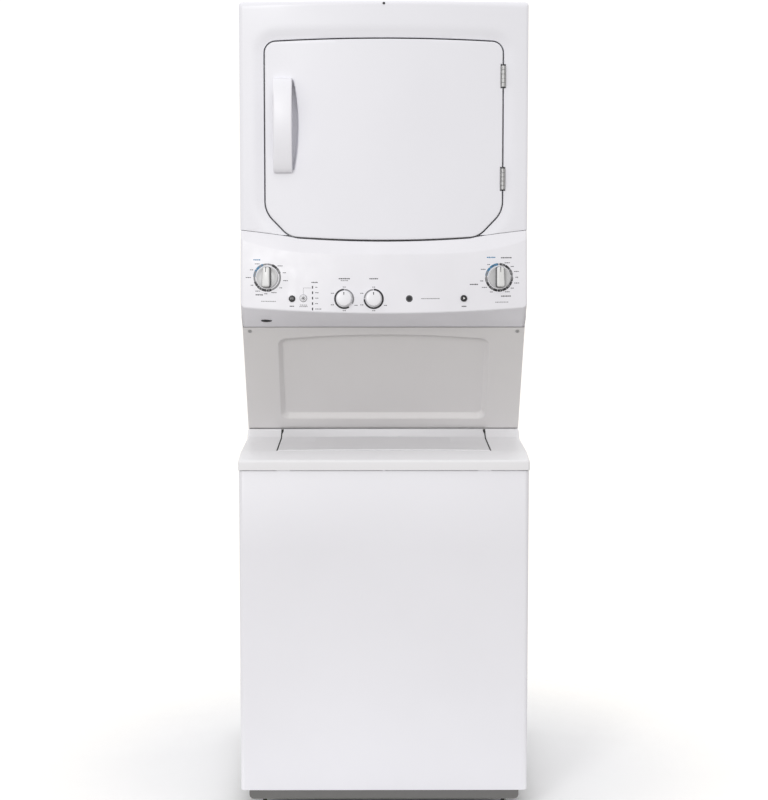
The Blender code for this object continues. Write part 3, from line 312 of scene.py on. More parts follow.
class Nodes:
    """A material's or world's nodes under construction: short calls that add nodes and join them."""

    def __init__(self, owner, last_node, place):
        owner.use_nodes = True
        self.owner = owner
        self.tree = owner.node_tree
        self.last_node = self.tree.nodes[last_node]
        self.place = self.add("ShaderNodeTexCoord", {}).outputs[place]

    def feed(self, node, socket, value):
        """Joins an output to a node's socket, or sets the socket to a number, vector or colour."""
        target = node.inputs[socket]
        if isinstance(value, bpy.types.NodeSocket):
            self.tree.links.new(value, target)
        else:
            target.default_value = (*value, 1.0) if target.type == "RGBA" else value

    def put(self, socket, value):
        self.feed(self.last_node, socket, value)

    def add(self, kind, values, operation=None):
        node = self.tree.nodes.new(kind)
        if operation:
            node.operation = operation
        for socket, value in values.items():
            self.feed(node, socket, value)
        return node

    def calculated(self, operation, *values):
        return self.add("ShaderNodeMath", dict(enumerate(values)), operation).outputs["Value"]

    def stretched(self, scale):
        values = {"Vector": self.place, "Scale": scale}
        return self.add("ShaderNodeMapping", values).outputs["Vector"]

    def noise(self, scale, detail=3.0, vector=None):
        values = {"Vector": vector or self.place, "Scale": scale, "Detail": detail}
        return self.add("ShaderNodeTexNoise", values).outputs["Fac"]

    def ranged(self, value, low, high, from_low=0.3, from_high=0.7):
        limits = {"From Min": from_low, "From Max": from_high, "To Min": low, "To Max": high}
        return self.add("ShaderNodeMapRange", {"Value": value, **limits}).outputs["Result"]

    def mixed(self, factor, first, second):
        """A mix of two colours, each a plain colour or another node's output."""
        node = self.add("ShaderNodeMix", {"Factor": factor})
        node.data_type = "RGBA"
        self.feed(node, COLOUR_A, first)
        self.feed(node, COLOUR_B, second)
        return node.outputs[COLOUR_OUT]

    def bump(self, height, strength, distance):
        values = {"Height": height, "Strength": strength, "Distance": distance}
        self.put("Normal", self.add("ShaderNodeBump", values).outputs["Normal"])

    def edge_wear(self):
        """1 close to sharp edges, broken up by noise."""
        softened = self.add("ShaderNodeBevel", {"Radius": 0.0012})
        softened.samples = 4
        plain = self.add("ShaderNodeNewGeometry", {}).outputs["Normal"]
        normals = {0: softened.outputs["Normal"], 1: plain}
        alike = self.add("ShaderNodeVectorMath", normals, "DOT_PRODUCT").outputs["Value"]
        edges = self.ranged(alike, 1.0, 0.0, 0.85, 0.99)
        return self.calculated("MULTIPLY", edges, self.ranged(self.noise(60.0), 0.3, 1.0, 0.42, 0.62))

    def colours(self, base, other, worn, scale=3.0):
        """Slow drift between two colours, with a third along worn edges."""
        drift = self.mixed(self.ranged(self.noise(scale, 4.0), 0.0, 1.0), base, other)
        self.put("Base Color", self.mixed(self.edge_wear(), drift, worn))

    def uneven_roughness(self, value, roughness, less, more):
        self.put("Roughness", self.ranged(value, roughness - less, roughness + more))


def new_material(name, colour, roughness, metallic=0.0):
    m = Nodes(bpy.data.materials.new(name), "Principled BSDF", "Object")
    for socket, value in (("Base Color", colour), ("Roughness", roughness), ("Metallic", metallic)):
        m.put(socket, value)
    return m


def shade(colour, factor):
    return tuple(min(channel * factor, 1.0) for channel in colour)


def make_enamel(name, colour, roughness, peel=0.05):
    """Baked enamel on steel: orange peel, faint smears in the gloss and slightly changed edges."""
    m = new_material(name, colour, roughness)
    m.colours(colour, shade(colour, 0.975), shade(colour, 1.04))
    m.uneven_roughness(m.noise(7.0, 5.0), roughness, 0.05, 0.07)
    m.bump(m.noise(420.0, 2.0), peel, 0.0006)
    m.put("Coat Weight", 0.10)
    m.put("Coat Roughness", 0.18)
    return m.owner


def make_plastic(name, colour, roughness, grain=0.06, scale=900.0):
    """Moulded plastic with a fine spark-eroded grain."""
    m = new_material(name, colour, roughness)
    m.colours(colour, shade(colour, 0.96), shade(colour, 1.06), 9.0)
    m.uneven_roughness(m.noise(25.0, 4.0), roughness, 0.06, 0.08)
    m.bump(m.noise(scale, 2.0), grain, 0.0004)
    m.put("Specular IOR Level", 0.45)
    return m.owner


def make_metal(name, colour, roughness, stretch, spangle=0.0):
    """Bare metal: brushed lines along an axis, or the patches of a zinc coat."""
    m = new_material(name, colour, roughness, 1.0)
    lines = m.noise(1.0, 3.0, m.stretched(stretch))
    m.uneven_roughness(lines, roughness, 0.06, 0.08)
    patches = m.ranged(m.noise(160.0 if spangle else 12.0, 1.0), 0.0, 1.0)
    m.put("Base Color", m.mixed(patches, colour, shade(colour, 1.0 - max(spangle, 0.08))))
    m.bump(lines, 0.10, 0.0003)
    return m.owner


def make_perforated(name, colour, roughness, across, along, axis):
    """Drum metal with rows of drilled holes, which show as dark dots."""
    m = new_material(name, colour, roughness, 1.0)
    split = m.add("ShaderNodeSeparateXYZ", {"Vector": m.place}).outputs
    turn = m.calculated("ARCTAN2", *[split[i] for i in range(3) if i != axis])
    waves = []
    for value, scale in ((turn, across), (split[axis], along)):
        waves.append(m.calculated("COSINE", m.calculated("MULTIPLY", value, scale)))
    holes = m.ranged(m.calculated("MULTIPLY", *waves), 0.0, 1.0, 0.72, 0.80)
    m.put("Base Color", m.mixed(holes, colour, shade(colour, 0.05)))
    m.uneven_roughness(m.noise(14.0), roughness, 0.03, 0.05)
    return m.owner


ENAMEL = make_enamel("enamel_white", (0.800, 0.795, 0.835), 0.40)
# The dryer's front and door: the white enamel made brighter, as painted light on the front.
FRONT_ENAMEL_PAINTED_LIGHT = make_enamel("enamel_white_front_painted_light", (0.840, 0.838, 0.885), 0.40)
ENAMEL_TOP = make_enamel("enamel_white_top", (0.800, 0.795, 0.815), 0.34)
# The lid: the top's white enamel made darker, as painted shade on the up-facing lid.
LID_ENAMEL_PAINTED_SHADE = make_enamel("enamel_white_lid_painted_shade", (0.725, 0.720, 0.738), 0.34)
# The splash panel: the white enamel greyed, as painted shade under the console and dryer.
SPLASH_ENAMEL_PAINTED_SHADE = make_enamel("enamel_white_splash_painted_shade", (0.710, 0.695, 0.695), 0.42)
CONSOLE_PLASTIC = make_plastic("console_white", (0.825, 0.818, 0.860), 0.36, 0.03)
WHITE_PLASTIC = make_plastic("plastic_white", (0.820, 0.815, 0.850), 0.34, 0.03)
# The door's pull: the white plastic made brighter, as a painted highlight on the bar.
HANDLE_PLASTIC_PAINTED_LIGHT = make_plastic("plastic_white_handle_painted_light", (0.865, 0.860, 0.905), 0.34, 0.03)
SATIN_DISC = make_plastic("satin_silver", (0.58, 0.58, 0.59), 0.30, 0.02)
SATIN_CAP = make_plastic("satin_white", (0.74, 0.74, 0.74), 0.28, 0.02)
BLACK_PLASTIC = make_plastic("plastic_black", (0.020, 0.020, 0.022), 0.36)
TUB_PLASTIC = make_plastic("tub_polypropylene", (0.58, 0.58, 0.56), 0.50, 0.10, 500.0)
RUBBER = make_plastic("black_rubber", (0.028, 0.028, 0.028), 0.75, 0.25, 700.0)
BASE_PAINT = make_plastic("base_dark_grey", (0.135, 0.132, 0.129), 0.55, 0.15, 500.0)
SCREW_STEEL = make_metal("screw_steel", (0.52, 0.52, 0.52), 0.42, (200.0, 200.0, 200.0))
LINT_MESH = make_plastic("lint_mesh", (0.24, 0.25, 0.26), 0.65, 0.60, 1600.0)
# The lower sides of the knob grips: near black, as painted shade along the grip's edges.
GRIP_SIDES_PAINTED_SHADE = make_plastic("grip_sides_painted_shade", (0.090, 0.090, 0.095), 0.42, 0.04)
STEEL = make_metal("brushed_steel", (0.50, 0.50, 0.50), 0.42, (300.0, 300.0, 90.0))
ZINC = make_metal("zinc_coated_steel", (0.60, 0.61, 0.62), 0.46, (60.0, 60.0, 60.0), 0.12)
BASKET_STEEL = make_perforated("basket_steel", (0.62, 0.62, 0.61), 0.28, 60.0, 220.0, 2)
DRUM_STEEL = make_perforated("drum_enamelled_steel", (0.60, 0.60, 0.60), 0.34, 54.0, 180.0, 1)
INK_COLOURS = {
    "black": (0.016, 0.016, 0.019),
    "grey": (0.060, 0.060, 0.068),
    "pale_grey": (0.240, 0.240, 0.250),
    "blue": (0.035, 0.200, 0.380),
    "white": (0.850, 0.850, 0.850),
}
INKS = [make_plastic(f"ink_{name}", colour, 0.50, 0.02) for name, colour in INK_COLOURS.items()]
INK_BLACK, INK_GREY, INK_PALE, INK_BLUE, INK_WHITE = INKS


def nodes_like(*parts):
    """The frame's nodes whose names hold any of the parts."""
    return [name for name in frame["nodes"] if any(part in name for part in parts)]


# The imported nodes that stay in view, with their finishes.
CARRIED = {
    ENAMEL: ["washer_cabinet", "stand_frame", "dryer_cabinet"],
    WHITE_PLASTIC: ["door_liner", "agitator", "balance_ring", "water_valve"],
    BASE_PAINT: ["base_frame"],
    BLACK_PLASTIC: ["drain_pump", "washer_motor", "dryer_motor"],
    TUB_PLASTIC: ["outer_tub"],
    STEEL: nodes_like("hinge_bracket", "hinge_leaf", "suspension_rod"),
    BASKET_STEEL: ["wash_basket"],
    DRUM_STEEL: ["dryer_drum"],
    ZINC: [
        *nodes_like("pulley", "blower", "bulkhead", "base_pan"),
        *nodes_like("drum_support", "duct", "terminal", "gearcase"),
    ],
    RUBBER: nodes_like("foot_", "_belt", "drum_roller"),
}


def smoothing_group():
    """Geometry nodes that shade a mesh smooth, apart from its sharper edges."""
    group = bpy.data.node_groups.new("smooth_by_angle", "GeometryNodeTree")
    for in_out in ("INPUT", "OUTPUT"):
        group.interface.new_socket("Geometry", in_out=in_out, socket_type="NodeSocketGeometry")
    smooth = "GeometryNodeSetShadeSmooth"
    chain = [group.nodes.new(kind) for kind in ("NodeGroupInput", smooth, smooth, "NodeGroupOutput")]
    for first, second in zip(chain, chain[1:]):
        group.links.new(first.outputs[0], second.inputs[0])
    chain[1].domain, chain[2].domain = "FACE", "EDGE"
    flat = group.nodes.new("FunctionNodeCompare")
    flat.operation = "LESS_THAN"
    flat.inputs["B"].default_value = math.radians(SHARP_ANGLE)
    angle = group.nodes.new("GeometryNodeInputMeshEdgeAngle")
    group.links.new(angle.outputs["Unsigned Angle"], flat.inputs["A"])
    group.links.new(flat.outputs[0], chain[2].inputs["Shade Smooth"])
    return group


def finish_carried_nodes():
    group = smoothing_group()
    for material, names in CARRIED.items():
        for name in names:
            node = frame["nodes"][name]
            node.data.materials.clear()
            node.data.materials.append(material)
            node.modifiers.new("Smooth", "NODES").node_group = group


# Dryer front
def front_y(x):
    """Y of the dryer's bowed front face."""
    return DRYER_SIDE_Y - DRYER_BOW * (1 - (x / HALF_WIDTH) ** 2)


def parting_z(x):
    """Height of the line where the front panel, or the door, meets the console."""
    under_door = 1.3575 + 0.0073 * min(abs(x) / DOOR_FOOT_HALF, 1) ** 2
    beside = max(abs(x) - DOOR_FOOT_HALF, 0) / (HALF_WIDTH - DOOR_FOOT_HALF)
    return under_door + 0.0187 * beside ** 0.75


def door_corners(notch):
    """Corners and radii of the line along the middle of the gap round the door, with hinge notches."""
    low_half, foot_z, side_z, top_z, half = 0.2229, 1.3676, 1.4269, 1.8240, DOOR_HALF_WIDTH
    fractions = [i / 8 for i in range(-7, 8)]
    bottom = [(low_half * t, foot_z - 0.0078 * (1 - t * t)) for t in fractions]
    top = [(-half * t, top_z + 0.007 * (1 - t * t)) for t in fractions]
    notches = []
    reach = HINGE_HALF_HEIGHT + HINGE_CLEARANCE
    for level in HINGE_LEVELS:
        low, high = level - reach, level + reach
        notches += [(half, low), (half - notch, low), (half - notch, high), (half, high)]
    corners = [(-low_half, foot_z), *bottom, (low_half, foot_z), (half, side_z), *notches]
    corners += [(half, top_z), *top, (-half, top_z), (-half, side_z)]
    radii = [0.052, *[0] * len(bottom), 0.052, 0.060, *[0] * len(notches)]
    radii += [0.027, *[0] * len(top), 0.027, 0.060]
    return corners, radii


def door_outline(margin, notch):
    corners, radii = door_corners(notch)
    return rounded(inset(corners, margin), [radius and max(radius - margin, 0.003) for radius in radii])


def rolled_rings(outline_at, radius, steps=5):
    """Rings of (x, distance behind the face, z) from a rim's back, round its rolled edge, to the face."""
    rings = [[(x, 1.0, z) for x, z in outline_at(0.0)]]
    for step in range(steps + 1):
        angle = math.pi / 2 * step / steps
        behind, margin = radius * (1 - math.sin(angle)), radius * (1 - math.cos(angle))
        rings.append([(x, behind, z) for x, z in outline_at(margin)])
    return rings


def bowed_panel(outline_at, radius, back, relief, step, extra_cuts=()):
    """A pan with a rolled edge whose face follows the dryer's bow, pushed back by relief(x, z)."""
    bm = bmesh.new()
    rows = add_rows(bm, rolled_rings(outline_at, radius))
    face = bm.faces.new(rows[-1])
    xs, zs = [v.co.x for v in face.verts], [v.co.z for v in face.verts]
    cuts = []
    for axis, places in ((0, xs), (2, zs)):
        count = math.ceil((max(places) - min(places)) / step)
        cuts += [(axis, min(places) + i * step) for i in range(1, count)]
    cut_faces(bm, {face}, [*cuts, *extra_cuts])
    for vert in bm.verts:
        x, behind, z = vert.co
        vert.co.y = back if behind > 0.5 else front_y(x) + behind + relief(x, z)
    return bm


def finger_scoop(x, z):
    """Depth of the crescent hollow in the door beside its handle."""
    centre_z = (HANDLE_LOW.z + HANDLE_HIGH.z) / 2
    beside, height = x - HANDLE_HIGH.x, abs(z - centre_z)
    behind_handle = smooth_step((x - HANDLE_LOW.x - 0.004) / 0.030)
    crescent = behind_handle * (1 - smooth_step(math.hypot(beside / 0.066, height / 0.115)))
    reach = 0.0105 * (1 - (min(height, 0.104) / 0.104) ** 2) + 0.0025
    under_bar = smooth_step((x - HANDLE_LOW.x - 0.010) / 0.015)
    pocket = under_bar * (1 - smooth_step((beside - reach + 0.003) / 0.005))
    return 0.0035 * crescent + 0.0150 * pocket * (1 - smooth_step((height - 0.092) / 0.014))


def make_door():
    """The door's pan with its finger hollow, cut more finely beside the handle."""
    near_handle = [(0, HANDLE_HIGH.x + 0.0020 * i) for i in range(-3, 9)]

    def edge(margin):
        return door_outline(DOOR_GAP / 2 + margin, HINGE_NOTCH)

    bm = bowed_panel(edge, 0.0022, DOOR_BACK_Y, finger_scoop, 0.007, near_handle)
    make_piece("door_skin", bm, "door", FRONT_ENAMEL_PAINTED_LIGHT, ["door_outer"], sheet=FRONT_SHEET)
    make_door_seal()


def make_door_seal():
    """The rubber seal round the door's liner."""
    section = ((0.046, -0.2652), (0.046, -0.2605), (0.049, -0.2590), (0.056, -0.2590), (0.059, -0.2605))
    rings = []
    for margin, y in section:
        corners = rectangle(0.275 - margin, 1.370 + margin, 1.821 - margin)
        rings.append([(x, y, z) for x, z in rounded(corners, [0.06] * 4)])
    make_piece("door_seal", band(rings), "door", RUBBER)


def door_gap_distance(points):
    """A function for the distance of (x, z) from the middle of the gap round the door."""
    pairs = list(zip(points, points[1:] + points[:1]))

    def distance(x, z):
        here = Vector((x, z))
        best = 1.0
        for first, second in pairs:
            run = second - first
            t = min(max((here - first).dot(run) / max(run.length_squared, 1e-12), 0), 1)
            best = min(best, (here - first - run * t).length)
        return best

    return distance


def panel_outline():
    """The front panel's edge: along the console, over the door, along the console again, and round."""
    hole = door_outline(-DOOR_GAP / 2, -HINGE_NOTCH)
    above = [point for point in hole if point.y > parting_z(point.x) + 0.002]
    start = min(range(len(above)), key=lambda i: (above[i].x > 0, above[i].y))
    over_door = [above[(start - i) % len(above)] for i in range(len(above))]
    seam_end = abs(over_door[0].x)
    seam_xs = [HALF_WIDTH - (HALF_WIDTH - seam_end) * t / 8 for t in range(8)]
    seam = [Vector((x, parting_z(x) + 0.0006)) for x in seam_xs]
    left = [Vector((-p.x, p.y)) for p in seam]
    top = arc((HALF_WIDTH - TOP_CORNER, DRYER_TOP_Z - TOP_CORNER), TOP_CORNER, 0, 90, 6)
    top += arc((TOP_CORNER - HALF_WIDTH, DRYER_TOP_Z - TOP_CORNER), TOP_CORNER, 90, 180, 6)
    return [*left, *over_door, *reversed(seam), *map(Vector, top)]


def roll_back(distance, radius):
    """How far a rounded edge of this radius has fallen back at a distance from its rim."""
    into = min(max(radius - distance, 0.0), radius)
    return radius - math.sqrt(radius ** 2 - into ** 2)


def make_front_panel():
    outline = panel_outline()
    distance = door_gap_distance(door_outline(0.0, 0.0)[::2])

    def relief(x, z):
        """The panel dips towards the door all round it, and rolls back along its sides and top."""
        near_door = 1 - smooth_step(distance(x, z) / 0.030)
        top_roll = RIM_ROLL * (1 + 0.7 * (x / HALF_WIDTH) ** 2)
        rolled = max(roll_back(HALF_WIDTH - abs(x), RIM_ROLL), roll_back(DRYER_TOP_Z - z, top_roll))
        return 0.0046 * near_door + 0.6 * rolled

    margins = [0.0008, 0.0018, 0.0032, 0.0050, 0.0070, RIM_ROLL, 0.0115, 0.0140]
    rim_cuts = [(0, side * (HALF_WIDTH - margin)) for side in (-1, 1) for margin in margins]
    rim_cuts += [(2, DRYER_TOP_Z - margin) for margin in margins]
    bm = bowed_panel(lambda m: inset(outline, m), 0.0006, PANEL_BACK_Y, relief, 0.0085, rim_cuts)
    replaced = ["dryer_front_panel"]
    make_piece("dryer_front_skin", bm, "cabinet", FRONT_ENAMEL_PAINTED_LIGHT, replaced, sheet=FRONT_SHEET)
    plug_place = Matrix.Translation((0, front_y(0) - 0.0008, DRYER_TOP_Z - 0.006))
    make_piece("front_panel_plug", lens(plug_place, (0.003, 0.0012, 0.003), 8), "cabinet", BLACK_PLASTIC)


def make_dryer_top():
    """The top cover: side edges of the front panel's own radius and a low crown in the middle."""
    low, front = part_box("dryer_top_cover")[0].z, PANEL_BACK_Y + 0.0003
    side = arc((HALF_WIDTH - TOP_CORNER, DRYER_TOP_Z - TOP_CORNER), TOP_CORNER, 0, 90, 8)
    crown = [(0.125 - 0.035 * t / 6, DRYER_TOP_Z + CROWN * smooth_step(t / 6)) for t in range(7)]
    right = [(HALF_WIDTH, low), *side, (0.25, DRYER_TOP_Z), *crown, (0.045, DRYER_TOP_Z + CROWN)]
    line = right + [(0.0, DRYER_TOP_Z + CROWN)] + [(-x, z) for x, z in reversed(right)]
    edge = 0.003
    stations = [(front, CROWN), (front, 0.0015), (front + 0.0015, 0.0), (0.0, 0.0)]
    stations += [(REAR_Y - edge + y, edge - z) for y, z in arc((0, 0), edge, 90, 0, 4)]
    rows = [[(x, y, max(z - drop, low)) for x, z in line] for y, drop in stations]
    rows.append([(x, REAR_Y, low) for x, _ in line])
    replaced = ["dryer_top_cover"]
    make_piece("dryer_top_skin", skin(rows), "cabinet", ENAMEL_TOP, replaced, sheet=TOP_SHEET)


def make_handle():
    """The arched pull bar with softened edges."""
    left, right, low, high = HANDLE_LOW.x, HANDLE_HIGH.x, HANDLE_LOW.z, HANDLE_HIGH.z
    steps, solid_end = 48, 0.12
    rows = []
    for index in range(steps + 1):
        t = index / steps
        z = low + (high - low) * t
        arch = math.sin(math.pi * t) ** 0.6
        gap_behind = max(0.0, min(t, 1 - t) - solid_end) / (0.5 - solid_end)
        lift = 0.019 * math.sin(math.pi / 2 * gap_behind) ** 0.6 if gap_behind else 0.0003
        out = 0.010 + 0.026 * arch
        end = max(0.0, 1 - min(t, 1 - t) * steps / 1.5) * 0.0012
        waist = 0.0022 * smooth_step(gap_behind * 4)
        corners = [
            (left + end, front_y(left) - lift),
            (right - end, front_y(right) - lift),
            (right - end, front_y(right) - out + end),
            (left + end + waist, front_y(left) - out - 0.002 + end),
        ]
        rows.append([(x, y, z) for x, y in rounded(corners, [0.0015, 0.0015, 0.0030, 0.0040], 5)])
    make_piece("door_pull", solids(rows), "door", HANDLE_PLASTIC_PAINTED_LIGHT, ["door_handle"], angle=50)


def make_hinge_seams():
    """Dark lines between the knuckles of the door hinges."""
    axis = Vector(JOINTS["door"]["pos_m"])
    ring, half = circle(KNUCKLE_RADIUS + 0.00006, 24, axis), 0.0004
    heights = [level + (i - 1.5) * 0.4 * HINGE_HALF_HEIGHT for level in HINGE_LEVELS for i in range(4)]
    seams = [raised(ring, z - half, z + half) for z in heights]
    make_piece("hinge_seams", solids(*seams), "cabinet", INK_BLACK)


def make_lint_screen():
    """The lint filter: a frame, with ribs on both sides of a fine mesh."""
    low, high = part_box("lint_filter")
    border, rib, lap = 0.012, 0.004, 0.001
    left, right, foot, top = low.x + border, high.x - border, low.z + border, high.z - 2 * border
    frame_bars = [(low.x, low.z, left, high.z), (right, low.z, high.x, high.z)]
    frame_bars += [(left, low.z, right, foot), (left, top, right, high.z)]
    shares = (0.25, 0.5, 0.75)
    uprights = [(x - rib / 2, foot, x + rib / 2, top) for x in [left + (right - left) * t for t in shares]]
    rungs = [(left, z - rib / 2, right, z + rib / 2) for z in [foot + (top - foot) * t for t in shares]]
    bm = bmesh.new()
    for bars, back_off in ((frame_bars, 0.0), (uprights, 0.0008), (rungs, 0.0014)):
        for x_low, z_low, x_high, z_high in bars:
            add_box(bm, (x_low, low.y + back_off, z_low), (x_high, high.y - back_off, z_high))
    make_piece("lint_frame", bm, "lint_filter", WHITE_PLASTIC, ["lint_filter"])
    bm = bmesh.new()
    middle, half = (low.y + high.y) / 2, (high.y - low.y) / 5
    add_box(bm, (left - lap, middle - half, foot - lap), (right + lap, middle + half, top + lap))
    make_piece("lint_mesh", bm, "lint_filter", LINT_MESH)


# Console
def crease_z(x):
    """The bright band under the door ends at this height, which climbs to the console's ends."""
    return 1.328 + 0.034 * (abs(x) / CONSOLE_HALF_WIDTH) ** 4


def console_low_z(x):
    """The face's lower edge, with a rounded corner at each end."""
    corner = roll_back(CONSOLE_HALF_WIDTH - abs(x), 0.012)
    return 1.190 + 0.012 * (x / CONSOLE_HALF_WIDTH) ** 2 + corner


def console_y(x, z):
    """Y of the console's main face below its crease."""
    slope = (CONSOLE_OUT - CREASE_OUT) / (CREASE_LEVEL - FACE_FOOT_LEVEL)
    return front_y(x) - CREASE_OUT - slope * (CREASE_LEVEL - z)


def console_normal(x, z):
    step = 0.001
    slope_x = (console_y(x + step, z) - console_y(x - step, z)) / (2 * step)
    slope_z = (console_y(x, z + step) - console_y(x, z - step)) / (2 * step)
    return Vector((slope_x, -1.0, slope_z)).normalized()


def console_section(x):
    """The console's (y, z) section at x, from its top edge at the back down to its underside."""
    top, low, crease = parting_z(x) - 0.0003, console_low_z(x), crease_z(x)
    front = front_y(x)
    corners = [
        (PANEL_BACK_Y, top),
        (front + 0.0005, top),
        (console_y(x, crease), crease),
        (console_y(x, low), low),
        (CONSOLE_FOOT_Y, STAND_TOP_Z + 0.0008),
        (CONSOLE_FOOT_Y, STAND_TOP_Z + 0.0035),
    ]
    reach = min(0.030, (top - crease) * 0.45)
    return rounded(corners, [0, 0.0018, reach, 0.0045, 0, 0], 6)


def make_console():
    """The console's skin with holes for its buttons, and the black buffer under its left end."""
    edge, count = 0.005, 56
    flat = CONSOLE_HALF_WIDTH - 0.013
    right = [(flat * i / count, 0.0) for i in range(count + 1)]
    right += [(flat + 0.008 * i / 4, 0.0) for i in (1, 2, 3, 4)]
    right += rolled_edge(CONSOLE_HALF_WIDTH - edge, edge, 6)
    rearmost = PANEL_BACK_Y + 0.0355
    rows = [[(x, min(y + back, rearmost), z) for y, z in console_section(x)] for x, back in mirrored(right)]
    under_z = STAND_TOP_Z + 0.005
    foot_y = CONSOLE_FOOT_Y - 0.001
    end = [(PANEL_BACK_Y if z > under_z else foot_y, z) for _, z in console_section(CONSOLE_HALF_WIDTH)]
    bm = skin(walled(rows, CONSOLE_HALF_WIDTH, end))
    sheet = (0.0025, FORWARDS)
    console = make_piece("console_skin", bm, "cabinet", CONSOLE_PLASTIC, ["console"], sheet=sheet)
    cutters = []
    for button in ("washer_start_button", "option_button", "dryer_start_button"):
        cutters.append(make_cutter(control_place(button), 0.0080, 0.024))
    cut_with(console, cutters)
    low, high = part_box("console_bumper")
    tilted = Matrix.Translation((low + high) / 2) @ Matrix.Rotation(math.radians(19), 4, "X")
    bm = lens(tilted, (0.01325, 0.0045, 0.0030), 16)
    make_piece("console_buffer", bm, "cabinet", BLACK_PLASTIC, ["console_bumper"])


def make_cutter(place, radius, depth):
    bm = bmesh.new()
    size = {"radius1": radius, "radius2": radius, "depth": depth}
    bmesh.ops.create_cone(bm, cap_ends=True, segments=48, **size)
    obj = add_object("cutter", bm)
    obj.matrix_world = place
    return obj


def cut_with(obj, cutters):
    """Cuts the cutters out of the object and removes them."""
    for cutter in cutters:
        change = obj.modifiers.new("Cut", "BOOLEAN")
        change.operation = "DIFFERENCE"
        change.object = cutter
    bpy.context.view_layer.update()
    evaluated = obj.evaluated_get(bpy.context.evaluated_depsgraph_get())
    mesh = bpy.data.meshes.new_from_object(evaluated)
    obj.modifiers.clear()
    obj.data = mesh
    for cutter in cutters:
        bpy.data.objects.remove(cutter)


def facing(centre, outwards):
    """A matrix whose +Z points outwards from centre, with +Y as near to up as it can be."""
    upwards = (Vector((0, 0, 1)) - outwards * outwards.z).normalized()
    turn = Matrix((upwards.cross(outwards), upwards, outwards)).transposed()
    return Matrix.Translation(centre) @ turn.to_4x4()


def control_place(name):
    """Where a control stands on the console, as a matrix whose +Z is the way out of it."""
    joint = JOINTS[name]
    low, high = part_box(name)
    outwards = Vector(joint["axis"])
    if outwards.y > 0:
        outwards = -outwards
    if "pos_m" in joint:
        return facing(Vector(joint["pos_m"]), outwards)
    x, z = (low.x + high.x) / 2, (low.z + high.z) / 2
    for _ in range(4):
        offset = ((low + high) / 2 - Vector((x, console_y(x, z), z))).dot(outwards)
        x, z = (low.x + high.x) / 2 - outwards.x * offset, (low.z + high.z) / 2 - outwards.z * offset
    return facing(Vector((x, console_y(x, z), z)), outwards)


GRIP_CORNERS = [(-0.0105, -0.0245), (0.0105, -0.0245), (0.0092, 0.0245), (-0.0092, 0.0245)]


def make_cycle_knob(name):
    """A wide satin disc with a raised grip bar, and a pointer mark on the bar."""
    place = control_place(name)
    profile = [(0.0035, -0.010), (0.0035, 0.0010), (0.0260, 0.0010), (0.0260, 0.0036)]
    profile += arc((0.0246, 0.0044), 0.0014, 0, 90, 4)
    profile += [(0.0232, 0.0054), (0.0150, 0.0050), (0.0020, 0.0056)]
    make_piece(f"{name}_disc", turned(profile, 72), name, SATIN_DISC, [name], origin=place)
    # The grip's sides get the dark material, as painted shade along its edges; its top is a satin cap.
    base = ((0.0050, 0.0), (0.0147, 0.0004), (0.0152, 0.0010))
    cap = ((0.0148, 0.0012), (0.0163, 0.0012), (0.0178, 0.0018), (0.0186, 0.0030), (0.0189, 0.0048))
    for end, levels, material in (("grip", base, GRIP_SIDES_PAINTED_SHADE), ("grip_cap", cap, SATIN_CAP)):
        rows = [at_height(rounded(inset(GRIP_CORNERS, m), [0.004] * 4, 6), height) for height, m in levels]
        make_piece(f"{name}_{end}", solids(rows), name, material, origin=place, angle=40)
    mark = [(-0.0006, 0.0110), (0.0006, 0.0110), (0.0009, 0.0228), (-0.0009, 0.0228)]
    make_piece(f"{name}_mark", solids(raised(mark, 0.0165, 0.01897)), name, INK_BLACK, origin=place)


def make_small_knob(name):
    """A plain round cap with a short pointer mark."""
    place = control_place(name)
    profile = [(0.0035, -0.010), (0.0035, 0.0008), (0.0180, 0.0008), (0.0176, 0.0130)]
    profile += arc((0.0150, 0.0136), 0.0026, 0, 80, 6) + [(0.0100, 0.01660), (0.0010, 0.0169)]
    make_piece(f"{name}_cap", turned(profile, 64), name, WHITE_PLASTIC, [name], origin=place)
    mark = rectangle(0.0008, 0.0085, 0.0150)
    make_piece(f"{name}_mark", solids(raised(mark, 0.0155, 0.01695)), name, INK_BLACK, origin=place)


def make_button(name, material, icon, ink):
    """A low domed push button with an icon of flat raised shapes."""
    place = control_place(name)
    profile = [(0.0098, -0.0050), (0.0098, -0.0034), (0.0075, -0.0034), (0.0075, 0.0022)]
    profile += arc((0.0063, 0.0024), 0.0012, 0, 75, 5) + [(0.0040, 0.0040), (0.0008, 0.0041)]
    make_piece(f"{name}_cap", turned(profile, 48), name, material, [name], origin=place)
    bm = solids(*[raised(outline, 0.0030, 0.00425) for outline in icon])
    make_piece(f"{name}_icon", bm, name, ink, origin=place)


def triangle(left, width, half_height):
    return [(left, -half_height), (left + width, 0.0), (left, half_height)]


def star(radius, width):
    """Bars through a point, as a generic asterisk."""
    arm = [Vector(corner) for corner in rectangle(radius, -width, width)]
    return [[turn_2d(corner, math.pi * index / 4) for corner in arm] for index in range(4)]


# Printed marks
LABEL_WIDTHS = (0.013, 0.008, 0.012, 0.007)
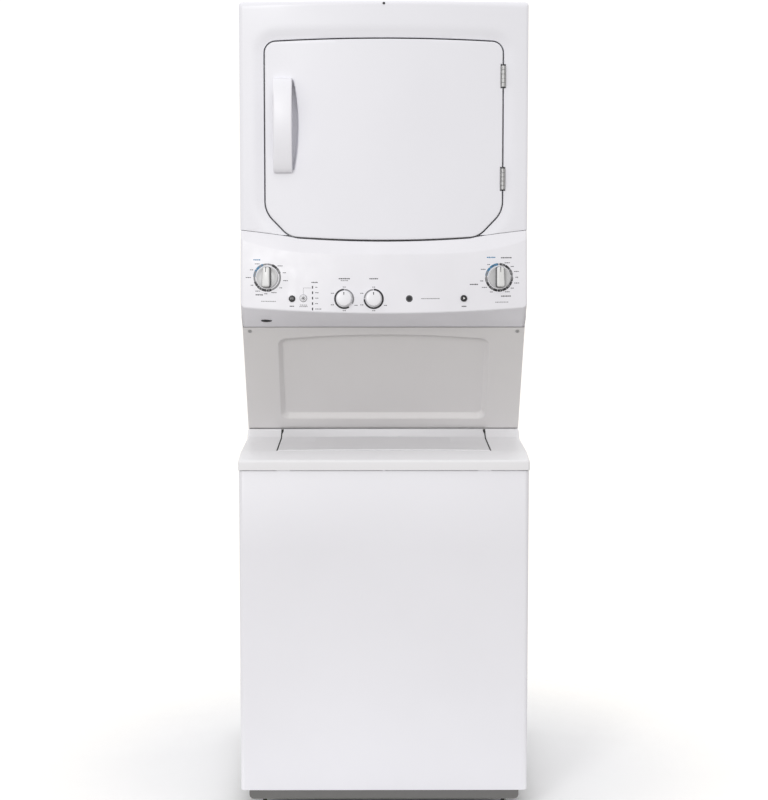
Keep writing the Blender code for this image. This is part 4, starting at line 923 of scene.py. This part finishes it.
# Where each line of blocks stands on the console: the X and Z of its middle, and its width.
HEADINGS = {
    "status": (-0.163, 1.262, 0.015),
    "temperature": (-0.093, 1.271, 0.027),
    "load": (-0.024, 1.271, 0.021),
    "washer_start": (-0.2165, 1.206, 0.011),
    "dryer_start": (0.1885, 1.206, 0.012),
    "washer_lower": (-0.294, 1.232, 0.018),
    "dryer_upper": (0.289, 1.319, 0.026),
    "dryer_lower": (0.288, 1.229, 0.024),
    "dryer_left": (0.212, 1.257, 0.020),
}
SMALL_HEADINGS = {
    "washer_note": (-0.272, 1.217, 0.036),
    "dryer_note": (0.278, 1.215, 0.032),
    "option": (-0.189, 1.209, 0.017),
    "option_note": (-0.189, 1.2055, 0.020),
    "temperature_note": (-0.093, 1.2665, 0.018),
    "model": (0.109, 1.2245, 0.044),
}
BLUE_HEADINGS = {"washer_upper": (-0.300, 1.314, 0.017), "dryer_upper": (0.253, 1.320, 0.021)}


def on_face(x, z, lift):
    point = Vector((x, console_y(x, z), z))
    return point + console_normal(x, z) * lift


def make_print(name, outlines, ink):
    """Thin marks on the console, each an outline in X and Z that follows its face."""
    marks = []
    for outline in outlines:
        marks.append([[on_face(x, z, lift) for x, z in outline] for lift in (-0.0004, 0.00012)])
    make_piece(name, solids(*marks), "cabinet", ink)


def ring_segment(centre, inner, outer, start, end):
    """A stretch of a ring. Angles are clock angles in degrees: 0 at the top, clockwise."""
    steps = max(2, round(abs(end - start) / 5))
    return arc(centre, outer, 90 - start, 90 - end, steps) + arc(centre, inner, 90 - end, 90 - start, steps)


def knob_centre(knob):
    place = JOINTS[knob]["pos_m"]
    return place[0], place[2]


def bar(centre, width, height):
    x, z = centre
    return [(x + across, up) for across, up in rectangle(width / 2, z - height / 2, z + height / 2)]


def words(centre, width, height):
    """A line of short blocks that stands for lettering."""
    x, z = centre
    count = max(1, round(width / 0.0042))
    pitch = width / count
    blocks = []
    for index in range(count):
        middle = x - width / 2 + pitch * (index + 0.5)
        block = pitch - (0.0009 if index % 3 else 0.0006)
        blocks.append(bar((middle, z), block, height * (1.0 if index % 2 else 0.84)))
    return blocks


def stretches(start, end, count, gap=3.0):
    """Equal stretches of a ring between two clock angles, with gaps between them."""
    pitch = (end - start + gap) / count
    return [(start + pitch * i, start + pitch * (i + 1) - gap) for i in range(count)]


def spread(start, end, count):
    return [start + (end - start) * i / (count - 1) for i in range(count)]


def print_ring(name, centre, inner, outer, spans, ink):
    make_print(name, [ring_segment(centre, inner, outer, *span) for span in spans], ink)


def make_cycle_ring(name, knob, blue, black, labelled):
    """The printed ring round a cycle knob, in blue, black and grey, with a label at each labelled angle."""
    centre, inner, outer = knob_centre(knob), 0.0279, 0.0336
    print_ring(f"{name}_grey", centre, inner + 0.0008, outer - 0.0008, [(0, 358)], INK_PALE)
    print_ring(f"{name}_blue", centre, inner, outer, blue, INK_BLUE)
    print_ring(f"{name}_black", centre, inner, outer, black, INK_BLACK)
    labels = []
    for index, angle in enumerate(labelled):
        width, out = LABEL_WIDTHS[index % len(LABEL_WIDTHS)], 0.0385
        across, up = math.sin(math.radians(angle)), math.cos(math.radians(angle))
        x = centre[0] + (out + width / 2 * abs(across)) * across
        labels += words((x, centre[1] + out * up), width, 0.0019)
    make_print(f"{name}_labels", labels, INK_GREY)


def make_small_ring(name, knob, black, grey):
    centre = knob_centre(knob)
    print_ring(f"{name}_black", centre, 0.0196, 0.0238, black, INK_BLACK)
    print_ring(f"{name}_grey", centre, 0.0198, 0.0232, grey, INK_PALE)
    offsets = ((-0.028, 0.013), (-0.028, -0.014), (0.0275, -0.015), (0.0, 0.0275), (0.0, -0.0275))
    labels = [block for x, z in offsets for block in words((centre[0] + x, centre[1] + z), 0.0080, 0.0018)]
    make_print(f"{name}_labels", labels, INK_GREY)


def make_status_prints():
    """A column of status lamps, their labels, and the thin line to them from the option button."""
    lamp_x, lamp_zs = -0.1677, (1.2507, 1.2380, 1.2253, 1.2126, 1.2000)
    make_print("status_lights", [bar((lamp_x, z), 0.0028, 0.0062) for z in lamp_zs], INK_BLACK)
    labels = []
    for z, width in zip(lamp_zs, (0.0055, 0.0085, 0.0080, 0.0070, 0.0150)):
        labels += words((lamp_x + 0.0060 + width / 2, z), width, 0.0018)
    make_print("status_labels", labels, INK_GREY)
    option_x, line_z, thin = -0.1894, 1.2490, 0.0005
    rise = bar((option_x, line_z - 0.0075), thin, 0.015)
    run = bar(((option_x + lamp_x - 0.002) / 2, line_z), lamp_x - 0.002 - option_x, thin)
    make_print("option_line", [rise, run], INK_GREY)
    print_ring("option_outline", (option_x, 1.225), 0.0081, 0.0089, [(0, 359)], INK_PALE)


def make_headings():
    """Lines of blocks where the console has headings."""
    for name, lines, height, ink in (
        ("headings", HEADINGS, 0.0027, INK_GREY),
        ("small_headings", SMALL_HEADINGS, 0.0019, INK_PALE),
        ("blue_headings", BLUE_HEADINGS, 0.0028, INK_BLUE),
    ):
        blocks = [block for x, z, width in lines.values() for block in words((x, z), width, height)]
        make_print(name, blocks, ink)


def make_prints():
    black = stretches(22, 72, 2) + stretches(162, 250, 4)
    make_cycle_ring("washer_ring", "washer_cycle_knob", stretches(272, 340, 2), black, spread(45, 325, 11))
    black = stretches(3, 78, 3) + stretches(90, 165, 4) + stretches(168, 270, 5)
    labelled = spread(28, 152, 7) + spread(208, 258, 3) + spread(300, 322, 2)
    make_cycle_ring("dryer_ring", "dryer_cycle_knob", stretches(278, 355, 2), black, labelled)
    make_small_ring("temperature_ring", "temperature_knob", [(150, 358)], [(0, 120)])
    make_small_ring("load_ring", "load_knob", [(0, 268)], [(272, 356)])
    make_status_prints()
    make_headings()
    badge = (0.0596, 1.2245)
    make_print("badge_disc", [circle(0.0080, 40, badge)], INK_BLACK)
    print_ring("badge_ring", badge, 0.0058, 0.0064, [(0, 359)], INK_PALE)


def make_controls():
    for name in ("washer_cycle_knob", "dryer_cycle_knob"):
        make_cycle_knob(name)
    for name in ("temperature_knob", "load_knob"):
        make_small_knob(name)
    play = [triangle(-0.0018, 0.0046, 0.0028)]
    play_pause = [triangle(-0.0040, 0.0042, 0.0026)]
    play_pause += [bar((x, 0.0), 0.0010, 0.0050) for x in (0.0016, 0.0036)]
    make_button("washer_start_button", BLACK_PLASTIC, play_pause, INK_PALE)
    make_button("dryer_start_button", BLACK_PLASTIC, play, INK_WHITE)
    make_button("option_button", WHITE_PLASTIC, star(0.0056, 0.00050), INK_GREY)
    make_prints()


# Splash panel
def recess_outline(margin):
    """The recess in the panel's own plane, with its top edge bowed upwards."""
    half, low, high, rise = 0.257, 0.03125, 0.29875, 0.015
    fractions = [i / 8 for i in range(7, -8, -1)]
    arch = [(half * t, high + rise * (1 - t * t)) for t in fractions]
    corners = [(-half, low), (half, low), (half, high), *arch, (-half, high)]
    radii = [0.020, 0.020, 0.022, *[0] * len(arch), 0.022]
    radii = [radius and max(radius - margin * 0.6, 0.004) for radius in radii]
    return rounded(inset(corners, margin), radii)


def make_splash():
    """The slanted panel with its shallow recess, and a screw in each upper corner."""
    place = Matrix.Translation(SPLASH_FOOT) @ Matrix.Rotation(SPLASH_TILT, 4, "X")
    bm = bmesh.new()
    steps, slope, depth = 10, 0.0125, 0.012
    rings = [at_height(recess_outline(-0.0015), 0.0)]
    for step in range(steps + 1):
        t = step / steps
        fall = 0.45 * smooth_step(t) + 0.55 * t
        rings.append(at_height(recess_outline(slope * t), -depth * fall))
    rings.append(at_height(recess_outline(slope + 0.0015), -depth))
    made = add_rows(bm, rings)
    bm.faces.new(made[-1])
    half = HALF_WIDTH - 0.0004
    border = [bm.verts.new((x, y, 0.0)) for x, y in rectangle(half, 0.0, SPLASH_LENGTH)]
    edges = [bm.edges.new((border[i], border[(i + 1) % 4])) for i in range(4)]
    rim = [bm.edges.get((made[0][i], made[0][(i + 1) % len(made[0])])) for i in range(len(made[0]))]
    bmesh.ops.triangle_fill(bm, use_beauty=True, edges=edges + rim)
    make_piece("splash_skin", bm, "cabinet", SPLASH_ENAMEL_PAINTED_SHADE, ["splash_panel"], 60, place, TOP_SHEET)
    for side, name in ((-1, "splash_screw_left"), (1, "splash_screw_right")):
        head = Matrix.Translation(place @ Vector((side * 0.3225, 0.3244, 0.0))) @ place.to_3x3().to_4x4()
        make_screw(f"{name}_head", head, [name])


def make_screw(name, place, replaces):
    """A screw whose domed head stands on a flange, with a dark cross on top."""
    profile = [(0.0022, -0.0080), (0.0022, 0.0002), (0.0048, 0.0002), (0.0048, 0.0010), (0.0036, 0.0014)]
    profile += [(0.0034, 0.0022), (0.0024, 0.0027), (0.0004, 0.0028)]
    make_piece(name, turned(profile, 24), "cabinet", SCREW_STEEL, replaces, origin=place)
    cross = (bar((0, 0), 0.0034, 0.0007), bar((0, 0), 0.0007, 0.0034))
    bm = solids(*[raised(outline, 0.0020, 0.00285) for outline in cross])
    make_piece(f"{name}_slot", bm, "cabinet", INK_BLACK, origin=place)


# Washer top
def cove(start, end_y, low_z, high_z, steps=8):
    """The rise from the flat top to the ledge, which starts with a crease."""
    points = []
    for step in range(steps + 1):
        t = step / steps
        points.append((start + (end_y - start) * t, low_z + (high_z - low_z) * (0.6 * t + 0.4 * t * t)))
    return points


def cover_line(margin):
    """(y, z) of the cover's outer surface, moved inwards, from its front foot over the top to the rear."""
    front, rear, ledge = COVER_LOW.y + margin, COVER_HIGH.y - margin, COVER_HIGH.z - margin
    flat, low = COVER_FLAT_Z - margin, COVER_LOW.z
    roll = 0.0060
    edge_z = flat - 0.0085
    points = [(front, low), (front, edge_z - roll)]
    points += arc((front + roll, edge_z - roll), roll, 165, 105, 4)
    points += [(WELL_FRONT_Y, flat), (-0.297, flat), (-0.180, flat)]
    points += cove(-0.060, -0.026, flat, ledge)
    points += [(WELL_REAR_Y, ledge), (rear - 0.004, ledge), (rear, ledge - 0.004), (rear, low)]
    return points


def make_top_cover():
    """The washer's cover with an opening for the lid's well."""
    edge = 0.006
    flat = COVER_HIGH.x - edge
    right = [(x, 0.0) for x in (0.0, 0.128, WELL_HALF_WIDTH, 0.29, flat)] + rolled_edge(flat, edge, 6)
    rows = [[(x, y, z) for y, z in cover_line(margin)] for x, margin in mirrored(right)]
    foot = [(y, COVER_LOW.z) for y, _ in cover_line(edge)]
    bm = skin(walled(rows, COVER_HIGH.x, foot))
    over_well = []
    for face in bm.faces:
        middle = face.calc_center_median()
        if abs(middle.x) < WELL_HALF_WIDTH and WELL_FRONT_Y < middle.y < WELL_REAR_Y and middle.z > 0.85:
            over_well.append(face)
    bmesh.ops.delete(bm, geom=over_well, context="FACES")
    replaced, sheet = ["washer_top_cover"], (0.0016, UPWARDS)
    make_piece("washer_top_skin", bm, "cabinet", ENAMEL_TOP, replaced, sheet=sheet)
    make_well()
    make_slot_painted_shade()
    make_cover_clips()


def make_slot_painted_shade():
    """Black strips down the slots beside the lid: painted shade in the gaps."""
    bm = bmesh.new()
    for side in (-1, 1):
        line = [(y, z - 0.0012) for y, z in cover_line(0.0) if WELL_FRONT_Y < y < WELL_REAR_Y]
        line = [(WELL_FRONT_Y + 0.001, line[0][1]), *line]
        inner = [side * (LID_HALF_WIDTH * (1 - lid_narrowing(y)) + 0.0003) for y, _ in line]
        outer = [side * (WELL_HALF_WIDTH - 0.0001)] * len(line)
        rows = [[(x, y, z) for x, (y, z) in zip(xs, line)] for xs in (inner, outer)]
        rows += [[(x, y, z - 0.006) for x, (y, z) in zip(xs, line)] for xs in (outer, inner)]
        made = add_rows(bm, rows, closed=False)
        bridge(bm, made[-1], made[0], closed=False)
    make_piece("lid_slot_painted_shade", bm, "cabinet", RUBBER)


def make_well():
    """The pan under the lid, with the rounded mouth of the wash tub and its rolled lip."""
    corners = rectangle(WELL_HALF_WIDTH, WELL_FRONT_Y, WELL_REAR_Y)
    rim, foot = rounded(corners, [0.003] * 4, 8), rounded(inset(corners, 0.003), [0.003] * 4, 8)
    mouth = rounded(rectangle(0.215, -0.285, -0.060), [0.085] * 4, 8)
    rows = [*raised(rim, COVER_FLAT_Z - 0.0018, WELL_FLOOR_Z + 0.003), at_height(foot, WELL_FLOOR_Z)]
    for grow, drop in ((0.010, 0.0), (0.004, 0.0008), (0.001, 0.003), (0.0, 0.012)):
        rows.append(at_height(inset(mouth, -grow), WELL_FLOOR_Z - drop))
    make_piece("lid_well", skin(rows, closed=True), "cabinet", ENAMEL_TOP, sheet=TOP_SHEET)


def make_cover_clips():
    """Light spring clips that show in the dark line under the cover."""
    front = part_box("washer_front_panel")[0].y
    clips = {"left": (-0.236, 0.030), "right": (0.236, 0.030), "middle": (0.0, 0.006)}
    for name, (x, width) in clips.items():
        bm = bmesh.new()
        low = (x - width / 2, front - 0.0006, COVER_LOW.z - 0.0016)
        add_box(bm, low, (x + width / 2, front + 0.004, COVER_LOW.z + 0.0002))
        bmesh.ops.bevel(bm, geom=bm.edges[:], offset=0.0004, segments=2, affect="EDGES", profile=0.5)
        make_piece(f"cover_clip_{name}", bm, "cabinet", WHITE_PLASTIC)


def lid_front_y(x):
    """Y of the lid's front edge, which is scooped back in the middle for fingers."""
    return -0.2975 + 0.015 * (1 - (x / LID_HALF_WIDTH) ** 2)


def rise_start(x):
    """Y where the lid's flat starts to rise to its hinge, further back in the middle."""
    return -0.065 + 0.027 * (1 - (x / LID_HALF_WIDTH) ** 2)


def lid_narrowing(y):
    """Share of its width that the lid gives up at its rise, for a notch at each end of the hinge."""
    return 0.012 * smooth_step((y + 0.046) / 0.010)


def lid_line(x):
    """(y, z) of the lid's outer surface: front lip, flat, rise and the roll over the hinge."""
    front = lid_front_y(x)
    lip = arc((front + 0.0030, COVER_FLAT_Z - 0.0016), 0.0030, 180, 90, 6)
    flat = [(front + 0.007, COVER_FLAT_Z + 0.0008), (front + 0.013, COVER_FLAT_Z), (-0.170, COVER_FLAT_Z)]
    over = cove(rise_start(x), LID_AXIS.y + 0.001, COVER_FLAT_Z, LID_AXIS.z + 0.011)
    roll = arc((LID_AXIS.y, LID_AXIS.z), 0.011, 80, -60, 10)
    return [(front, COVER_FLAT_Z - 0.0120), *lip, *flat, *over, *roll]


def make_lid():
    """The lid's skin with its hinge pivots and the stiffener below it."""
    edge, count = 0.0022, 40
    flat = LID_HALF_WIDTH - edge
    right = [(flat * i / count, 0.0) for i in range(count + 1)] + rolled_edge(flat, edge, 4)
    rows = [[(x, y, z - down) for y, z in lid_line(x)] for x, down in mirrored(right)]
    foot = [(y, max(min(z, 0.868) - 0.012, 0.8475)) for y, z in lid_line(LID_HALF_WIDTH)]
    rows = walled(rows, LID_HALF_WIDTH, foot)
    bm = skin([[(x * (1 - lid_narrowing(y)), y, z) for x, y, z in row] for row in rows])
    make_piece("lid_skin", bm, "lid", LID_ENAMEL_PAINTED_SHADE, ["washer_lid"], sheet=(0.0014, UPWARDS))
    pivots = []
    for side in (-1, 1):
        ends = side * (LID_HALF_WIDTH - 0.004), side * (LID_HALF_WIDTH + 0.008)
        pivots.append([[(x, y, z) for y, z in circle(0.004, 20, LID_AXIS.yz)] for x in ends])
    make_piece("lid_pivots", solids(*pivots), "lid", BLACK_PLASTIC)
    make_lid_stiffener()


def make_lid_stiffener():
    """The raised border under the lid."""
    rows = []
    for inwards, z in ((0.0, 0.8555), (0.0, 0.8495), (0.004, 0.8480), (0.010, 0.8495), (0.010, 0.8555)):
        corners = rectangle(0.240 - inwards, -0.270 + inwards, -0.062 - inwards)
        rows.append(at_height(rounded(corners, [0.03] * 4, 6), z))
    make_piece("lid_stiffener", band(rows), "lid", ENAMEL_TOP)


# Washer front
def make_washer_front():
    """The folded front panel with softly rounded corners."""
    low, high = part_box("washer_front_panel")
    radius = 0.011
    seam, front, half, tall = high.y, low.y, high.x, high.z - low.z
    plan = [(-half, seam), *arc((-half + radius, front + radius), radius, 180, 270, 10)]
    plan += [(0.0, front), *arc((half - radius, front + radius), radius, 270, 360, 10), (half, seam)]
    bend = 0.0025
    folds = [(0.0, 0.012), (0.0, bend), (0.0007, 0.0010), (bend, 0.0)]
    levels = folds + [(tall * i / 4, 0.0) for i in (1, 2, 3)]
    levels += [(tall - up, inwards) for up, inwards in reversed(folds)]
    rows = []
    for up, inwards in levels:
        rows.append([(x * (1 - inwards / half), min(y + inwards, seam), low.z + up) for x, y in plan])
    replaced, sheet = ["washer_front_panel"], (0.0010, FORWARDS)
    make_piece("washer_front_skin", skin(rows), "cabinet", ENAMEL, replaced, sheet=sheet)


# Stage
def make_floor():
    """A pale round floor that fades away before its edge."""
    bm = bmesh.new()
    bmesh.ops.create_circle(bm, cap_ends=True, segments=96, radius=1.3)
    pale = (0.95, 0.95, 0.955)
    m = new_material("floor_pale", pale, 0.60)
    length = m.add("ShaderNodeVectorMath", {0: m.place}, "LENGTH")
    fade = m.ranged(length.outputs["Value"], 1.0, 0.0, 0.5, 1.25)
    fade.node.interpolation_type = "SMOOTHSTEP"
    m.put("Alpha", fade)
    m.put("Base Color", m.mixed(m.ranged(m.noise(4.0), 0.0, 1.0), pale, shade(pale, 0.98)))
    add_object("floor", bm, m.owner)


def make_world():
    """A white room: bright above, dimmer below the horizon, and plain white where the camera sees it."""
    world = Nodes(bpy.data.worlds.new("studio"), "Background", "Generated")
    bpy.context.scene.world = world.owner
    height = world.add("ShaderNodeSeparateXYZ", {0: world.place}).outputs["Z"]
    dome = world.ranged(height, ROOM_BELOW, ROOM_ABOVE, -0.5, 0.5)
    dome.node.interpolation_type = "SMOOTHSTEP"
    tint = world.add("ShaderNodeValToRGB", {"Fac": height})
    warm, white = tint.color_ramp.elements
    warm.color = (1.0, 0.975, 0.940, 1.0)
    white.color = (1.0, 1.0, 1.0, 1.0)
    white.position = 0.3
    world.put("Color", tint.outputs["Color"])
    camera_ray = world.add("ShaderNodeLightPath", {}).outputs["Is Camera Ray"]
    seen = world.add("ShaderNodeMix", {"Factor": camera_ray, "A": dome, "B": ROOM_SEEN})
    world.put("Strength", seen.outputs["Result"])


def make_key_light():
    """One large soft light, high on the left."""
    light = bpy.data.lights.new("key", "AREA")
    light.shape = "RECTANGLE"
    light.size, light.size_y = KEY_SIZE
    light.energy = KEY_POWER
    obj = link_object("key", light)
    obj.location = KEY_PLACE
    obj.rotation_euler = (Vector(KEY_TARGET) - Vector(KEY_PLACE)).to_track_quat("-Z", "Y").to_euler()


def make_camera():
    camera = bpy.data.cameras.new("camera")
    camera.sensor_width = 36.0
    camera.lens = CAMERA_LENS
    camera.shift_y = CAMERA_SHIFT_Y
    obj = link_object("camera", camera)
    obj.location = CAMERA_PLACE
    obj.rotation_euler = Euler((math.radians(90 - CAMERA_PITCH), 0.0, math.radians(CAMERA_YAW)))
    bpy.context.scene.camera = obj
    bpy.context.scene.view_settings.view_transform = "Standard"


finish_carried_nodes()
make_door()
make_handle()
make_hinge_seams()
make_front_panel()
make_dryer_top()
make_lint_screen()
make_console()
make_controls()
make_splash()
make_top_cover()
make_lid()
make_washer_front()
make_floor()
make_world()
make_key_light()
make_camera()
